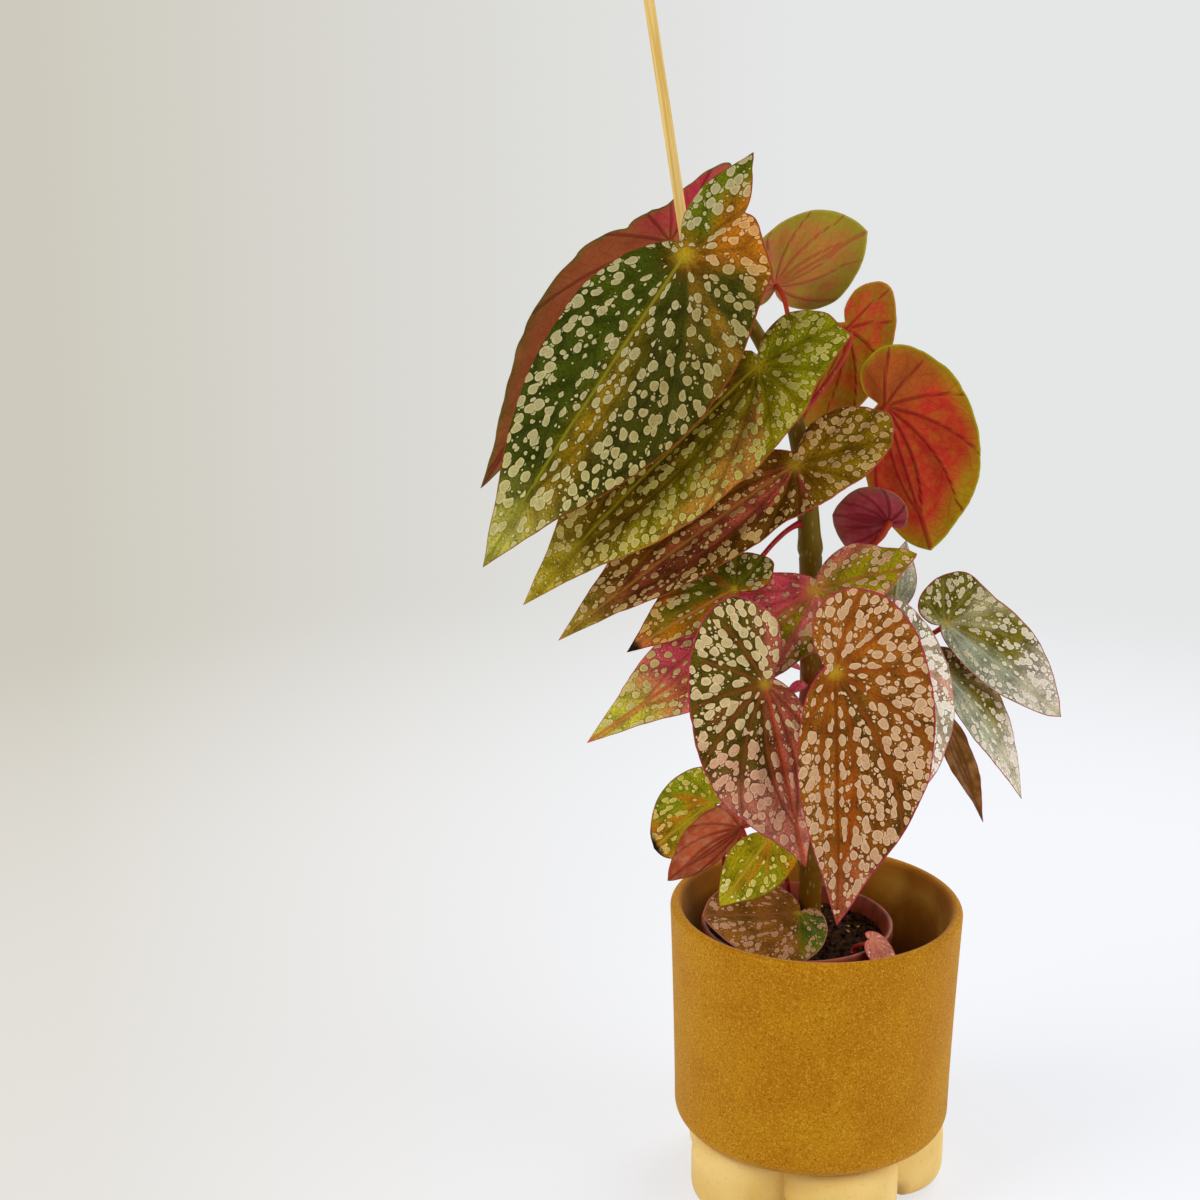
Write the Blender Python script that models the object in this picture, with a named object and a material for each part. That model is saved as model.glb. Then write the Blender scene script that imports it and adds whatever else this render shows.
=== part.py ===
"""A potted angel-wing begonia in a stoneware cover pot on a lobed stand.

World frame: metres, +Z up, origin on the floor under the axis of the pots.
Lengths below are in millimetres and angles in degrees.
"""

import math

import bmesh
import bpy
import numpy as np
from mathutils import Vector

MM = 0.001
GAP = 0.3                   # clearance between touching pieces

# Stand: five rounded feet grown together into one block
STAND_HEIGHT = 32.0
STAND_LOBES = 5
STAND_LOBE_CIRCLE = 38.0    # radius on which the feet stand
STAND_LOBE_RADIUS = 28.0
STAND_TURN = 23.0           # first foot, right of the front
STAND_ARCH_HEIGHT = 8.0     # small arch between two feet
STAND_ARCH_HALF_ANGLE = 7.0

# Cover pot
POT_BOTTOM = STAND_HEIGHT + GAP
POT_HEIGHT = 112.0
POT_TOP = POT_BOTTOM + POT_HEIGHT
POT_RIM_RADIUS = 70.0
POT_FOOT_RADIUS = 67.0
POT_WALL = 5.5
POT_FLOOR = 13.0
POT_FOOT_ROUNDING = 8.0     # radius of the corner under the wall
POT_INNER_ROUNDING = 6.0    # radius of the corner between floor and wall
POT_WAIST = (67.8, 60.0)    # radius half-way up the wall, and how high that is above the bottom

# Nursery pot, a thin plastic pot standing inside the cover pot, left of its axis
NURSERY_CENTRE_X = -9.0
NURSERY_BOTTOM = POT_BOTTOM + POT_FLOOR + GAP
NURSERY_TOP = 134.0
NURSERY_RIM_RADIUS = 46.0
NURSERY_FOOT_RADIUS = 34.0
NURSERY_WALL = 1.2
NURSERY_LIP = 5.0           # height of the turned-out lip
NURSERY_LIP_STEP = 2.0      # how far it stands out
SOIL_TOP = 126.0
HOLE_PLAY = 1.0             # room round the cane and the stake in the soil
HOLE_LENGTH = 60.0          # of the tool that cuts each hole, past the top of the soil

# Cane: middle line and radius of the main stem
CANE_RADIUS = 5.3
CANE_LINE = [(-3, 0, 100), (-3, 0, 150), (-4, 0, 210), (-6, 0, 275), (-8, 0, 325), (-14, 0, 370),
             (-27, 0, 405), (-42, 2, 430)]
CANE_NODES = (165, 205, 245, 285, 320, 352, 382)   # heights of the swollen rings
CANE_TIP_RADIUS = 3.0
CANE_TAPER_FROM = 300.0     # height from which it tapers, and the length of the taper
CANE_TAPER_LENGTH = 130.0
NODE_SWELLING = 0.8
NODE_LENGTH = 4.0

# Stake
STAKE_RADIUS = 2.5
STAKE_LINE = [(-18, 14, 85), (-23, 13, 150), (-46, 12, 320), (-70, 11, 475), (-97, 10, 640)]

BLADE_THICKNESS = 0.9
PETIOLE_RADIUS = 1.4

# Outline of a leaf of length 1, petiole joint at (0, 0), tip at (1, 0).
# The broad side carries the ear that wraps behind the joint.
BROAD_SIDE = [(-0.03, -0.04), (-0.12, -0.08), (-0.24, -0.06), (-0.32, 0.05), (-0.30, 0.18), (-0.20, 0.30),
              (-0.05, 0.37), (0.12, 0.40), (0.30, 0.40), (0.48, 0.36), (0.65, 0.26), (0.82, 0.12), (1, 0)]
NARROW_SIDE = [(1, 0), (0.84, -0.06), (0.66, -0.13), (0.45, -0.18), (0.25, -0.18), (0.10, -0.14),
               (0.02, -0.09), (-0.02, -0.05)]
# The same for a leaf that is round all the way, with hardly a tip.
ROUND_BROAD_SIDE = [(-0.03, -0.04), (-0.13, -0.10), (-0.26, -0.07), (-0.35, 0.06), (-0.34, 0.21),
                    (-0.23, 0.35), (-0.06, 0.45), (0.14, 0.50), (0.36, 0.50), (0.60, 0.44), (0.80, 0.31),
                    (0.94, 0.15), (1, 0)]
ROUND_NARROW_SIDE = [(1, 0), (0.96, -0.09), (0.84, -0.18), (0.60, -0.25), (0.32, -0.23), (0.12, -0.16),
                     (0.02, -0.10), (-0.02, -0.05)]

# Each leaf: joint = end of the petiole, heading = way the tip points (0 = +X, 90 = +Y), droop = below
# level, tilt = turn about the midrib, hand = side of the ear, broad/narrow/ear = how full each part of the
# outline is, lobe = how far the ear spreads from the midrib, round = from 0, pointed, to 1, round, arch = how
# far the tip curves down, root = where the petiole starts: height on the cane and heading, or for a leaf that
# comes out of the soil its x and y there. horns = points drawn out of the rim, or notches in it, each as
# (place along the broad side, how far, how wide), in shares of that side and of the length.
LEAVES = {
    "leaf_top_front": dict(joint=(-64, -35, 457), length=158, heading=215, droop=50, tilt=-45, hand=1,
                           broad=0.74, narrow=1.05, ear=0.85, lobe=0.62, round=0, arch=0.1, root=(424, 240),
                           horns=[(0.15, 0.11, 0.03), (0.26, -0.08, 0.06), (0.4, 0.06, 0.06)]),
    "leaf_top_back": dict(joint=(-75, 25, 455), length=141, heading=205, droop=45, tilt=70, hand=1,
                          broad=0.68, narrow=1.0, ear=0.95, lobe=0.55, round=0, arch=0.1, root=(418, 110),
                          horns=[(0.5, -0.1, 0.08)]),
    "leaf_upper_front": dict(joint=(-32, -30, 409), length=145, heading=205, droop=40, tilt=-45, hand=1,
                             broad=0.6, narrow=1.0, ear=0.75, lobe=0.8, round=0, arch=0.1, root=(382, 270),
                             horns=[(0.28, 0.06, 0.04)]),
    "leaf_middle_front": dict(joint=(-15, -20, 363), length=130, heading=205, droop=30, tilt=-45, hand=1,
                              broad=0.4, narrow=1.0, ear=1.15, lobe=1.3, round=0, arch=0.1, root=(340, 280),
                              horns=[(0.3, 0.03, 0.06)]),
    "leaf_small_left": dict(joint=(-40, -45, 312), length=55, heading=210, droop=20, tilt=-40, hand=-1,
                            broad=0.8, narrow=1.0, ear=1.3, lobe=1.0, round=0, arch=0.1, root=(332, 215),
                            horns=()),
    "leaf_low_left": dict(joint=(-5, -25, 307), length=122, heading=205, droop=27, tilt=-45, hand=1,
                          broad=0.5, narrow=1.1, ear=0.95, lobe=1.0, round=0, arch=0.1, root=(285, 270),
                          horns=[(0.23, 0.1, 0.06), (0.42, -0.06, 0.04)]),
    "leaf_front_left": dict(joint=(-25, -64, 275), length=88, heading=340, droop=75, tilt=60, hand=-1,
                            broad=1.0, narrow=1.0, ear=1.45, lobe=1.0, round=0, arch=0.1, root=(238, 250),
                            horns=[(0.08, 0.05, 0.05)]),
    "leaf_front_right": dict(joint=(5, -69, 283), length=112, heading=285, droop=75, tilt=0, hand=1,
                             broad=0.98, narrow=0.85, ear=1.0, lobe=1.0, round=0, arch=0.1, root=(250, 290),
                             horns=()),
    "leaf_behind_front": dict(joint=(33, -10, 270), length=62, heading=335, droop=65, tilt=20, hand=1,
                              broad=1.0, narrow=0.8, ear=1.3, lobe=1.0, round=0.7, arch=0.2, root=(262, 5),
                              horns=()),
    "leaf_right": dict(joint=(57, 30, 276), length=70, heading=350, droop=33, tilt=45, hand=1, broad=0.85,
                       narrow=0.9, ear=0.75, lobe=1.25, round=0.4, arch=0.1, root=(255, 30), horns=()),
    "leaf_right_hanging": dict(joint=(57, 20, 254), length=70, heading=350, droop=40, tilt=30, hand=1,
                               broad=0.6, narrow=1.0, ear=0.6, lobe=1.0, round=0, arch=0.4, root=(242, 15),
                               horns=()),
    "leaf_right_lower": dict(joint=(56, 20, 235), length=55, heading=340, droop=60, tilt=-60, hand=1,
                             broad=0.6, narrow=1.0, ear=0.8, lobe=1.0, round=0, arch=0.1, root=(225, 20),
                             horns=()),
    "leaf_small_right": dict(joint=(33, 30, 283), length=38, heading=80, droop=-50, tilt=0, hand=1,
                             broad=0.9, narrow=1.2, ear=0.8, lobe=1.0, round=0, arch=0.1, root=(270, 50),
                             horns=()),
    "leaf_top_right": dict(joint=(-27, 35, 434), length=50, heading=30, droop=-30, tilt=-70, hand=-1,
                           broad=1.25, narrow=2.4, ear=1.0, lobe=1.0, round=0.8, arch=0.1, root=(400, 60),
                           horns=()),
    "leaf_upper_right": dict(joint=(6, 40, 414), length=50, heading=200, droop=60, tilt=70, hand=-1,
                             broad=1.3, narrow=2.0, ear=1.5, lobe=1.0, round=0.9, arch=0.1, root=(380, 60),
                             horns=()),
    "leaf_back_right": dict(joint=(25, 30, 380), length=71, heading=10, droop=70, tilt=-75, hand=-1,
                            broad=1.1, narrow=1.2, ear=1.1, lobe=1.0, round=0.7, arch=0.1, root=(345, 40),
                            horns=()),
    "leaf_back_small": dict(joint=(28, 10, 330), length=26, heading=170, droop=-8, tilt=70, hand=1,
                            broad=1.5, narrow=3.0, ear=0.9, lobe=1.0, round=0.9, arch=0.1, root=(302, 30),
                            horns=()),
    "leaf_base_left": dict(joint=(-22, -33, 190), length=40, heading=205, droop=50, tilt=-45, hand=1,
                           broad=1.0, narrow=1.4, ear=0.6, lobe=1.0, round=0.3, arch=0.1, root=(-12, 9),
                           horns=()),
    "leaf_base_folded": dict(joint=(-36, -18, 188), length=42, heading=195, droop=30, tilt=65, hand=1,
                             broad=1.2, narrow=1.4, ear=0.7, lobe=1.0, round=0.5, arch=0.1, root=(-38, 19),
                             horns=()),
    "leaf_base_far_left": dict(joint=(-50, -8, 196), length=36, heading=190, droop=35, tilt=-40, hand=-1,
                               broad=1.3, narrow=1.8, ear=1.0, lobe=1.0, round=0.9, arch=0.1,
                               root=(-45, 14), horns=()),
    "leaf_on_soil": dict(joint=(-8, -12, 143), length=46, heading=190, droop=-2, tilt=-28, hand=1,
                         broad=1.3, narrow=2.0, ear=0.8, lobe=1.0, round=0.6, arch=0.0, root=(-4, -16),
                         horns=()),
    "leaf_seedling": dict(joint=(26, -27, 138), length=20, heading=300, droop=25, tilt=-10, hand=1,
                          broad=1.0, narrow=1.6, ear=0.8, lobe=1.0, round=0.6, arch=0.0, root=(18, -16),
                          horns=()),
}

# Stipules, the small papery leaves that sheathed a bud and still sit on the cane without a petiole: height on
# the cane, and the rest as for a leaf.
STIPULES = {
    "stipule_upper": dict(height=264, length=15, heading=205, droop=-25, tilt=-20),
    "stipule_lower": dict(height=257, length=12, heading=235, droop=10, tilt=-35),
}
STIPULE_BASE = 0.6          # from the seat to a stipule's joint, which lies a little inside its base
STIPULE_SHAPE = dict(hand=1, broad=0.6, narrow=1.0, ear=0.1, lobe=1.0, round=0.3, arch=0.1, horns=())

FOLD = math.tan(math.radians(10))   # slope of each half of a leaf, up from the midrib
FOLD_ROUNDING = 0.02                # the fold is rounded over this share of the length
CUP = 0.3                           # how far the halves curve back down
SEAT_PLAY = 0.1                     # on top of the gap, where a round end meets a faceted skin
LEAVING_REACH = 0.3                 # a petiole runs straight out of the cane for this share of its reach
ARRIVING_REACH = 0.25               # and comes up under its leaf for this one

RINGS = 3                   # rings of faces from the petiole joint to the leaf's edge
BROAD_POINTS = 15
NARROW_POINTS = 8

COLOURS = {
    "leaf": (0.16, 0.18, 0.05, 0.45),
    "petiole": (0.45, 0.12, 0.08, 0.45),
    "cane": (0.20, 0.20, 0.06, 0.5),
    "stake": (0.72, 0.55, 0.30, 0.7),
    "soil": (0.03, 0.02, 0.015, 0.95),
    "nursery_plastic": (0.30, 0.10, 0.06, 0.45),
    "stoneware": (0.50, 0.27, 0.05, 0.75),
    "stand": (0.72, 0.60, 0.42, 0.6),
}


def clear_scene():
    for old in list(bpy.data.objects):
        bpy.data.objects.remove(old, do_unlink=True)


def material(name):
    """Principled material of one finish, made once and then shared."""
    found = bpy.data.materials.get(name)
    if found:
        return found
    made = bpy.data.materials.new(name)
    made.use_nodes = True
    red, green, blue, roughness = COLOURS[name]
    shader = made.node_tree.nodes["Principled BSDF"]
    shader.inputs["Base Color"].default_value = (red, green, blue, 1.0)
    shader.inputs["Roughness"].default_value = roughness
    return made


def add_object(name, points, faces, finish):
    """Object with its place in its mesh, points in millimetres."""
    mesh = bpy.data.meshes.new(name)
    mesh.from_pydata([tuple(float(v) * MM for v in point) for point in points], [], faces)
    bm = bmesh.new()
    bm.from_mesh(mesh)
    bmesh.ops.recalc_face_normals(bm, faces=bm.faces)
    bm.to_mesh(mesh)
    bm.free()
    mesh.shade_smooth()
    mesh.set_sharp_from_angle(angle=math.radians(40))
    mesh.materials.append(material(finish))
    made = bpy.data.objects.new(name, mesh)
    bpy.context.scene.collection.objects.link(made)
    return made


def smooth_curve(points, count):
    """count points evenly spaced along a Catmull-Rom curve through the given points."""
    given = np.array(points, float)
    ends = np.vstack([2 * given[0] - given[1], given, 2 * given[-1] - given[-2]])
    steps = np.linspace(0, 1, 24, endpoint=False)[:, None]
    fine = []
    for a, b, c, d in zip(ends, ends[1:], ends[2:], ends[3:]):
        fine.append(0.5 * (2 * b + (c - a) * steps + (2 * a - 5 * b + 4 * c - d) * steps ** 2
                           + (3 * b - a - 3 * c + d) * steps ** 3))
    fine = np.vstack(fine + [given[-1:]])
    travel = np.concatenate([[0], np.cumsum(np.linalg.norm(np.diff(fine, axis=0), axis=1))])
    places = np.linspace(0, travel[-1], count)
    return np.column_stack([np.interp(places, travel, fine[:, axis]) for axis in range(fine.shape[1])])


def tube(name, line, radii, sides, finish):
    """Closed tube along a line of points, with a radius at each point and flat ends."""
    line = np.asarray(line, float)
    along = np.gradient(line, axis=0)
    along /= np.linalg.norm(along, axis=1)[:, None]
    guide = np.cross(along[0], (0.3, 1.0, 0.2))
    points = []
    for centre, direction, radius in zip(line, along, radii):
        guide = guide - direction * guide.dot(direction)
        guide /= np.linalg.norm(guide)
        across = np.cross(direction, guide)
        for k in range(sides):
            turn = 2 * math.pi * k / sides
            points.append(centre + radius * (math.cos(turn) * guide + math.sin(turn) * across))
    faces = []
    for i in range(len(line) - 1):
        for k in range(sides):
            a = i * sides + k
            b = i * sides + (k + 1) % sides
            faces.append((a, b, b + sides, a + sides))
    faces.append(tuple(range(sides))[::-1])
    faces.append(tuple(range((len(line) - 1) * sides, len(line) * sides)))
    return add_object(name, points, faces, finish)


def turned(name, profile, sides, centre_x, finish):
    """Solid of revolution about a vertical axis; the profile starts and ends on the axis."""
    points = [(centre_x, 0, profile[0][1])]
    for radius, height in profile[1:-1]:
        for k in range(sides):
            turn = 2 * math.pi * k / sides
            points.append((centre_x + radius * math.cos(turn), radius * math.sin(turn), height))
    points.append((centre_x, 0, profile[-1][1]))
    last = len(points) - 1
    rings = len(profile) - 2
    faces = []
    for k in range(sides):
        after = (k + 1) % sides
        faces.append((0, 1 + k, 1 + after))
        for i in range(rings - 1):
            a = 1 + i * sides
            faces.append((a + k, a + sides + k, a + sides + after, a + after))
        top = 1 + (rings - 1) * sides
        faces.append((last, top + after, top + k))
    return add_object(name, points, faces, finish)


def corner_arc(centre_r, centre_z, radius, start, end, steps):
    """Points of a rounded corner of a turned profile."""
    arc = []
    for k in range(steps + 1):
        turn = math.radians(start + (end - start) * k / steps)
        arc.append((centre_r + radius * math.cos(turn), centre_z + radius * math.sin(turn)))
    return arc


def lobed_radius(turn):
    """Plan radius of five overlapping round feet at one angle."""
    step = 2 * math.pi / STAND_LOBES
    first = math.radians(STAND_TURN - 90)
    off = (turn - first + step / 2) % step - step / 2
    reach = STAND_LOBE_RADIUS ** 2 - (STAND_LOBE_CIRCLE * math.sin(off)) ** 2
    return STAND_LOBE_CIRCLE * math.cos(off) + math.sqrt(max(reach, 0))


def notch(turn):
    """1 halfway between two feet, falling to 0 at the edge of the small arch."""
    step = 2 * math.pi / STAND_LOBES
    first = math.radians(STAND_TURN - 90)
    off = (turn - first) % step - step / 2
    reach = abs(off) / math.radians(STAND_ARCH_HALF_ANGLE)
    return math.sqrt(max(0.0, 1 - reach * reach))


def build_stand():
    sides = 70
    levels = [(0, 14), (0, 5), (3, 1.5), (9, 0), (20, 0), (27, 2), (31, 5.5), (32, 9)]   # height, inset
    turns = [2 * math.pi * k / sides for k in range(sides)]
    points = [(0, 0, 0)]
    for number, (height, inset) in enumerate(levels):
        for turn in turns:
            radius = lobed_radius(turn) - inset
            lift = 0.0
            if 0 < number < 4:
                lift = (STAND_ARCH_HEIGHT - 0.5 * height) * notch(turn)
            points.append((radius * math.cos(turn), radius * math.sin(turn), height + lift))
    points.append((0, 0, STAND_HEIGHT))
    top = len(points) - 1
    faces = []
    for k in range(sides):
        after = (k + 1) % sides
        faces.append((0, 1 + after, 1 + k))
        for i in range(len(levels) - 1):
            a = 1 + i * sides
            faces.append((a + k, a + after, a + sides + after, a + sides + k))
        a = 1 + (len(levels) - 1) * sides
        faces.append((top, a + k, a + after))
    add_object("stand", points, faces, "stand")


def build_cover_pot():
    """Straight stoneware pot, a little wider at its rounded rim."""
    corner, inner_corner = POT_FOOT_ROUNDING, POT_INNER_ROUNDING
    foot = corner_arc(POT_FOOT_RADIUS - corner, POT_BOTTOM + corner, corner, -90, 0, 4)
    rim = corner_arc(POT_RIM_RADIUS - POT_WALL / 2, POT_TOP - POT_WALL / 2, POT_WALL / 2, 0, 180, 6)
    inner_floor = POT_BOTTOM + POT_FLOOR
    inside = corner_arc(POT_FOOT_RADIUS - POT_WALL - inner_corner, inner_floor + inner_corner, inner_corner,
                        0, -90, 3)
    profile = [(0, POT_BOTTOM)] + foot + [(POT_WAIST[0], POT_BOTTOM + POT_WAIST[1])] + rim
    profile += inside + [(0, inner_floor)]
    turned("cover_pot", profile, 48, 0, "stoneware")


def build_nursery_pot():
    """Thin tapered plastic pot with a turned-out lip."""
    lip, step, wall, rim = NURSERY_LIP, NURSERY_LIP_STEP, NURSERY_WALL, NURSERY_RIM_RADIUS
    profile = [(0, NURSERY_BOTTOM), (NURSERY_FOOT_RADIUS, NURSERY_BOTTOM), (rim - step, NURSERY_TOP - lip),
               (rim, NURSERY_TOP - lip), (rim, NURSERY_TOP), (rim - wall - step / 2, NURSERY_TOP),
               (rim - step - wall, NURSERY_TOP - lip - step),
               (NURSERY_FOOT_RADIUS - wall, NURSERY_BOTTOM + wall), (0, NURSERY_BOTTOM + wall)]
    turned("nursery_pot", profile, 40, NURSERY_CENTRE_X, "nursery_plastic")


def nursery_inner_radius(height):
    """Radius inside the nursery pot's wall at a height above its floor."""
    low = NURSERY_BOTTOM + NURSERY_WALL
    high = NURSERY_TOP - NURSERY_LIP - NURSERY_LIP_STEP
    share = (height - low) / (high - low)
    wide = NURSERY_RIM_RADIUS - NURSERY_LIP_STEP - NURSERY_WALL
    narrow = NURSERY_FOOT_RADIUS - NURSERY_WALL
    return narrow + (wide - narrow) * share


def build_soil():
    """Soil that fills the nursery pot, with the holes that the cane and the stake stand in."""
    low = NURSERY_BOTTOM + NURSERY_WALL + GAP
    profile = [(0, low), (nursery_inner_radius(low) - GAP, low),
               (nursery_inner_radius(SOIL_TOP) - GAP, SOIL_TOP), (0, SOIL_TOP)]
    soil = turned("soil", profile, 36, NURSERY_CENTRE_X, "soil")
    holes = (("cane_hole", CANE_LINE, CANE_RADIUS), ("stake_hole", STAKE_LINE, STAKE_RADIUS))
    for name, line, radius in holes:
        start, second = Vector(line[0]), Vector(line[1])
        along = (second - start).normalized()
        ends = [start - along * GAP, start + along * HOLE_LENGTH]
        cutter = tube(name, [ends[0], (ends[0] + ends[1]) / 2, ends[1]], [radius + HOLE_PLAY] * 3, 14, "soil")
        cutter.hide_render = True
        cutter.display_type = "WIRE"
        cut = soil.modifiers.new(name, "BOOLEAN")
        cut.operation = "DIFFERENCE"
        cut.object = cutter


def cane_middle(height):
    """Point on the cane's middle line at a height."""
    line = smooth_curve(CANE_LINE, 120)
    return np.array([np.interp(height, line[:, 2], line[:, axis]) for axis in range(3)])


def cane_radius(height):
    """Cane radius at a height: a slow taper, with a swelling at each node."""
    share = max(0.0, (height - CANE_TAPER_FROM) / CANE_TAPER_LENGTH)
    taper = CANE_RADIUS - (CANE_RADIUS - CANE_TIP_RADIUS) * share ** 1.5
    swell = sum(NODE_SWELLING * math.exp(-((height - node) / NODE_LENGTH) ** 2) for node in CANE_NODES)
    return taper + (swell if height > SOIL_TOP + 8 else 0.0)


def build_cane():
    line = smooth_curve(CANE_LINE, 44)
    tube("cane", line, [cane_radius(point[2]) for point in line], 12, "cane")


def build_stake():
    line = smooth_curve(STAKE_LINE, 12)
    tube("stake", line, [STAKE_RADIUS] * len(line), 10, "stake")


def side_curve(pointed, full, leaf, count):
    """One side of the outline: the pointed and the round leaf's, blended."""
    share = leaf["round"]
    return (1 - share) * smooth_curve(pointed, count) + share * smooth_curve(full, count)


def ease(low, high, x):
    """0 below low, 1 above high, eased between; low may be the larger of the two."""
    t = np.clip((x - low) / (high - low), 0, 1)
    return t * t * (3 - 2 * t)


def leaf_outline(leaf):
    """Closed outline of one leaf in its own plane, in units of its length.

    Each horn moves the broad side outwards by far * exp(-distance / width).
    """
    broad = side_curve(BROAD_SIDE, ROUND_BROAD_SIDE, leaf, BROAD_POINTS)
    narrow = side_curve(NARROW_SIDE, ROUND_NARROW_SIDE, leaf, NARROW_POINTS)[1:]
    lobe = 1 + (leaf["lobe"] - 1) * ease(0.2, -0.15, broad[:, 0])
    broad[:, 0] = np.where(broad[:, 0] < 0, broad[:, 0] * leaf["ear"], broad[:, 0])
    broad[:, 1] *= np.where(broad[:, 1] > 0, leaf["broad"] * lobe, leaf["ear"])
    narrow[:, 1] *= leaf["narrow"]
    place = np.linspace(0, 1, BROAD_POINTS)
    outwards = broad / np.linalg.norm(broad, axis=1)[:, None]
    for where, far, width in leaf["horns"]:
        broad = broad + outwards * far * np.exp(-np.abs(place - where) / width)[:, None]
    return np.vstack([broad, narrow])


def leaf_axes(leaf):
    """Three unit vectors of a leaf: along the midrib, across it, and up from its face."""
    heading, droop, tilt = (math.radians(leaf[key]) for key in ("heading", "droop", "tilt"))
    along = np.array([math.cos(heading) * math.cos(droop), math.sin(heading) * math.cos(droop),
                      -math.sin(droop)])
    level_up = np.array([math.cos(heading) * math.sin(droop), math.sin(heading) * math.sin(droop),
                         math.cos(droop)])
    level_across = np.cross(level_up, along)
    across = level_across * math.cos(tilt) + level_up * math.sin(tilt)
    up = level_up * math.cos(tilt) - level_across * math.sin(tilt)
    return along, across, up


def blade_surface(leaf, flat):
    """Places of flat leaf points (N x 2, in leaf lengths) on the bent leaf.

    Height above the leaf's plane = fold times the distance across, rounded at the midrib, - cup times the
    square of the distance across - arch times the square of the distance along.
    """
    along, across, up = leaf_axes(leaf)
    x, y = flat[:, 0], flat[:, 1]
    fold = FOLD * (np.hypot(y, FOLD_ROUNDING) - FOLD_ROUNDING)
    height = fold - CUP * y * y - leaf["arch"] * np.maximum(x, 0) ** 2
    local = np.column_stack([x, leaf["hand"] * y, height]) * leaf["length"]
    return np.array(leaf["joint"], float) + local @ np.array([along, across, up])


def build_blade(name, leaf):
    """Leaf blade: rings from the petiole joint to the outline, above and below, closed at the rim."""
    outline = leaf_outline(leaf)
    count = len(outline)
    shares = np.linspace(0, 1, RINGS + 1)[1:] ** 0.8
    flat = np.vstack([[[0, 0]]] + [outline * share for share in shares])
    middle = blade_surface(leaf, flat)
    up = leaf_axes(leaf)[2] * BLADE_THICKNESS / 2
    points = np.vstack([middle + up, middle - up])
    under = len(middle)
    faces = []
    for k in range(count):
        after = (k + 1) % count
        for base, flip in ((0, 1), (under, -1)):
            faces.append((base, base + 1 + k, base + 1 + after)[::flip])
            for i in range(RINGS - 1):
                a = base + 1 + i * count
                faces.append((a + k, a + count + k, a + count + after, a + after)[::flip])
        rim = 1 + (RINGS - 1) * count
        faces.append((rim + k, under + rim + k, under + rim + after, rim + after))
    add_object(name, points, faces, "leaf")


def cane_seat(height, turn):
    """Place just off the cane's skin at a height and a heading, and the way straight out of it."""
    cane_along = cane_middle(height + 2) - cane_middle(height - 2)
    cane_along /= np.linalg.norm(cane_along)
    leave = np.array([math.cos(math.radians(turn)), math.sin(math.radians(turn)), 0.0])
    leave -= cane_along * leave.dot(cane_along)
    leave /= np.linalg.norm(leave)
    skin = max(cane_radius(height + step) for step in (-2, -1, 0, 1, 2))
    return cane_middle(height) + leave * (skin + GAP + SEAT_PLAY), leave


def build_stipule(name, stipule):
    seat, leave = cane_seat(stipule["height"], stipule["heading"])
    build_blade(name, dict(STIPULE_SHAPE, **stipule, joint=seat + leave * STIPULE_BASE))


def petiole_line(leaf):
    """Bezier curve from the cane (or from the soil) to just under the petiole joint."""
    joint = np.array(leaf["joint"], float)
    up = leaf_axes(leaf)[2]
    end = joint - up * (BLADE_THICKNESS / 2 + GAP + SEAT_PLAY)
    height, turn = leaf["root"]
    if height < SOIL_TOP:
        start = np.array([height, turn, SOIL_TOP + GAP])
        leave = np.array([0.0, 0.0, 1.0])
    else:
        start, leave = cane_seat(height, turn)
    reach = np.linalg.norm(end - start)
    first = start + leave * reach * LEAVING_REACH
    second = end - up * reach * ARRIVING_REACH
    t = np.linspace(0, 1, 9)[:, None]
    return (1 - t) ** 3 * start + 3 * (1 - t) ** 2 * t * first + 3 * (1 - t) * t * t * second + t ** 3 * end


def build_petiole(name, leaf):
    line = petiole_line(leaf)
    size = min(1.0, 0.6 + leaf["length"] / 250)
    tube(name, line, [PETIOLE_RADIUS * size] * len(line), 6, "petiole")


def build_part():
    clear_scene()
    build_stand()
    build_cover_pot()
    build_nursery_pot()
    build_soil()
    build_cane()
    build_stake()
    for name, leaf in LEAVES.items():
        build_blade(name, leaf)
        build_petiole(name.replace("leaf", "petiole"), leaf)
    for name, stipule in STIPULES.items():
        build_stipule(name, stipule)


build_part()
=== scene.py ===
import math

import bmesh
import bpy
import numpy as np
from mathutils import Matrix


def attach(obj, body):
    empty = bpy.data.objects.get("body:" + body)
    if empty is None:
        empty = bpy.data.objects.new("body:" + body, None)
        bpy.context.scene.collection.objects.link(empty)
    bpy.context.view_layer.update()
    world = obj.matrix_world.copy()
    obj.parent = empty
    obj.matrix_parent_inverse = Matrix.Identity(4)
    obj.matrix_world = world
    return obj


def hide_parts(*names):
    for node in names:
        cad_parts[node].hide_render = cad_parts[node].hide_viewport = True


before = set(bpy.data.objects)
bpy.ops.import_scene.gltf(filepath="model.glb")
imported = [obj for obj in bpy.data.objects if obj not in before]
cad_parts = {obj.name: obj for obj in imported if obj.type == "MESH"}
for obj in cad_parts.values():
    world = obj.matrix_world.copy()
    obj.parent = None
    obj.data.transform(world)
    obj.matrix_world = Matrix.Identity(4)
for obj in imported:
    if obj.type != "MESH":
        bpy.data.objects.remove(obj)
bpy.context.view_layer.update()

MM = 0.001          # shapes are worked out in millimetres and stored in metres


# ---------------------------------------------------------------- curves, noise and colour

def smoothstep(low, high, x):
    """0 below low, 1 above high, eased between; low may be the larger of the two."""
    t = np.clip((x - low) / (high - low), 0, 1)
    return t * t * (3 - 2 * t)


def mix(a, b, share):
    """Rows of colour a faded towards b."""
    share = np.asarray(share)[:, None]
    return a * (1 - share) + b * share


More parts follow.
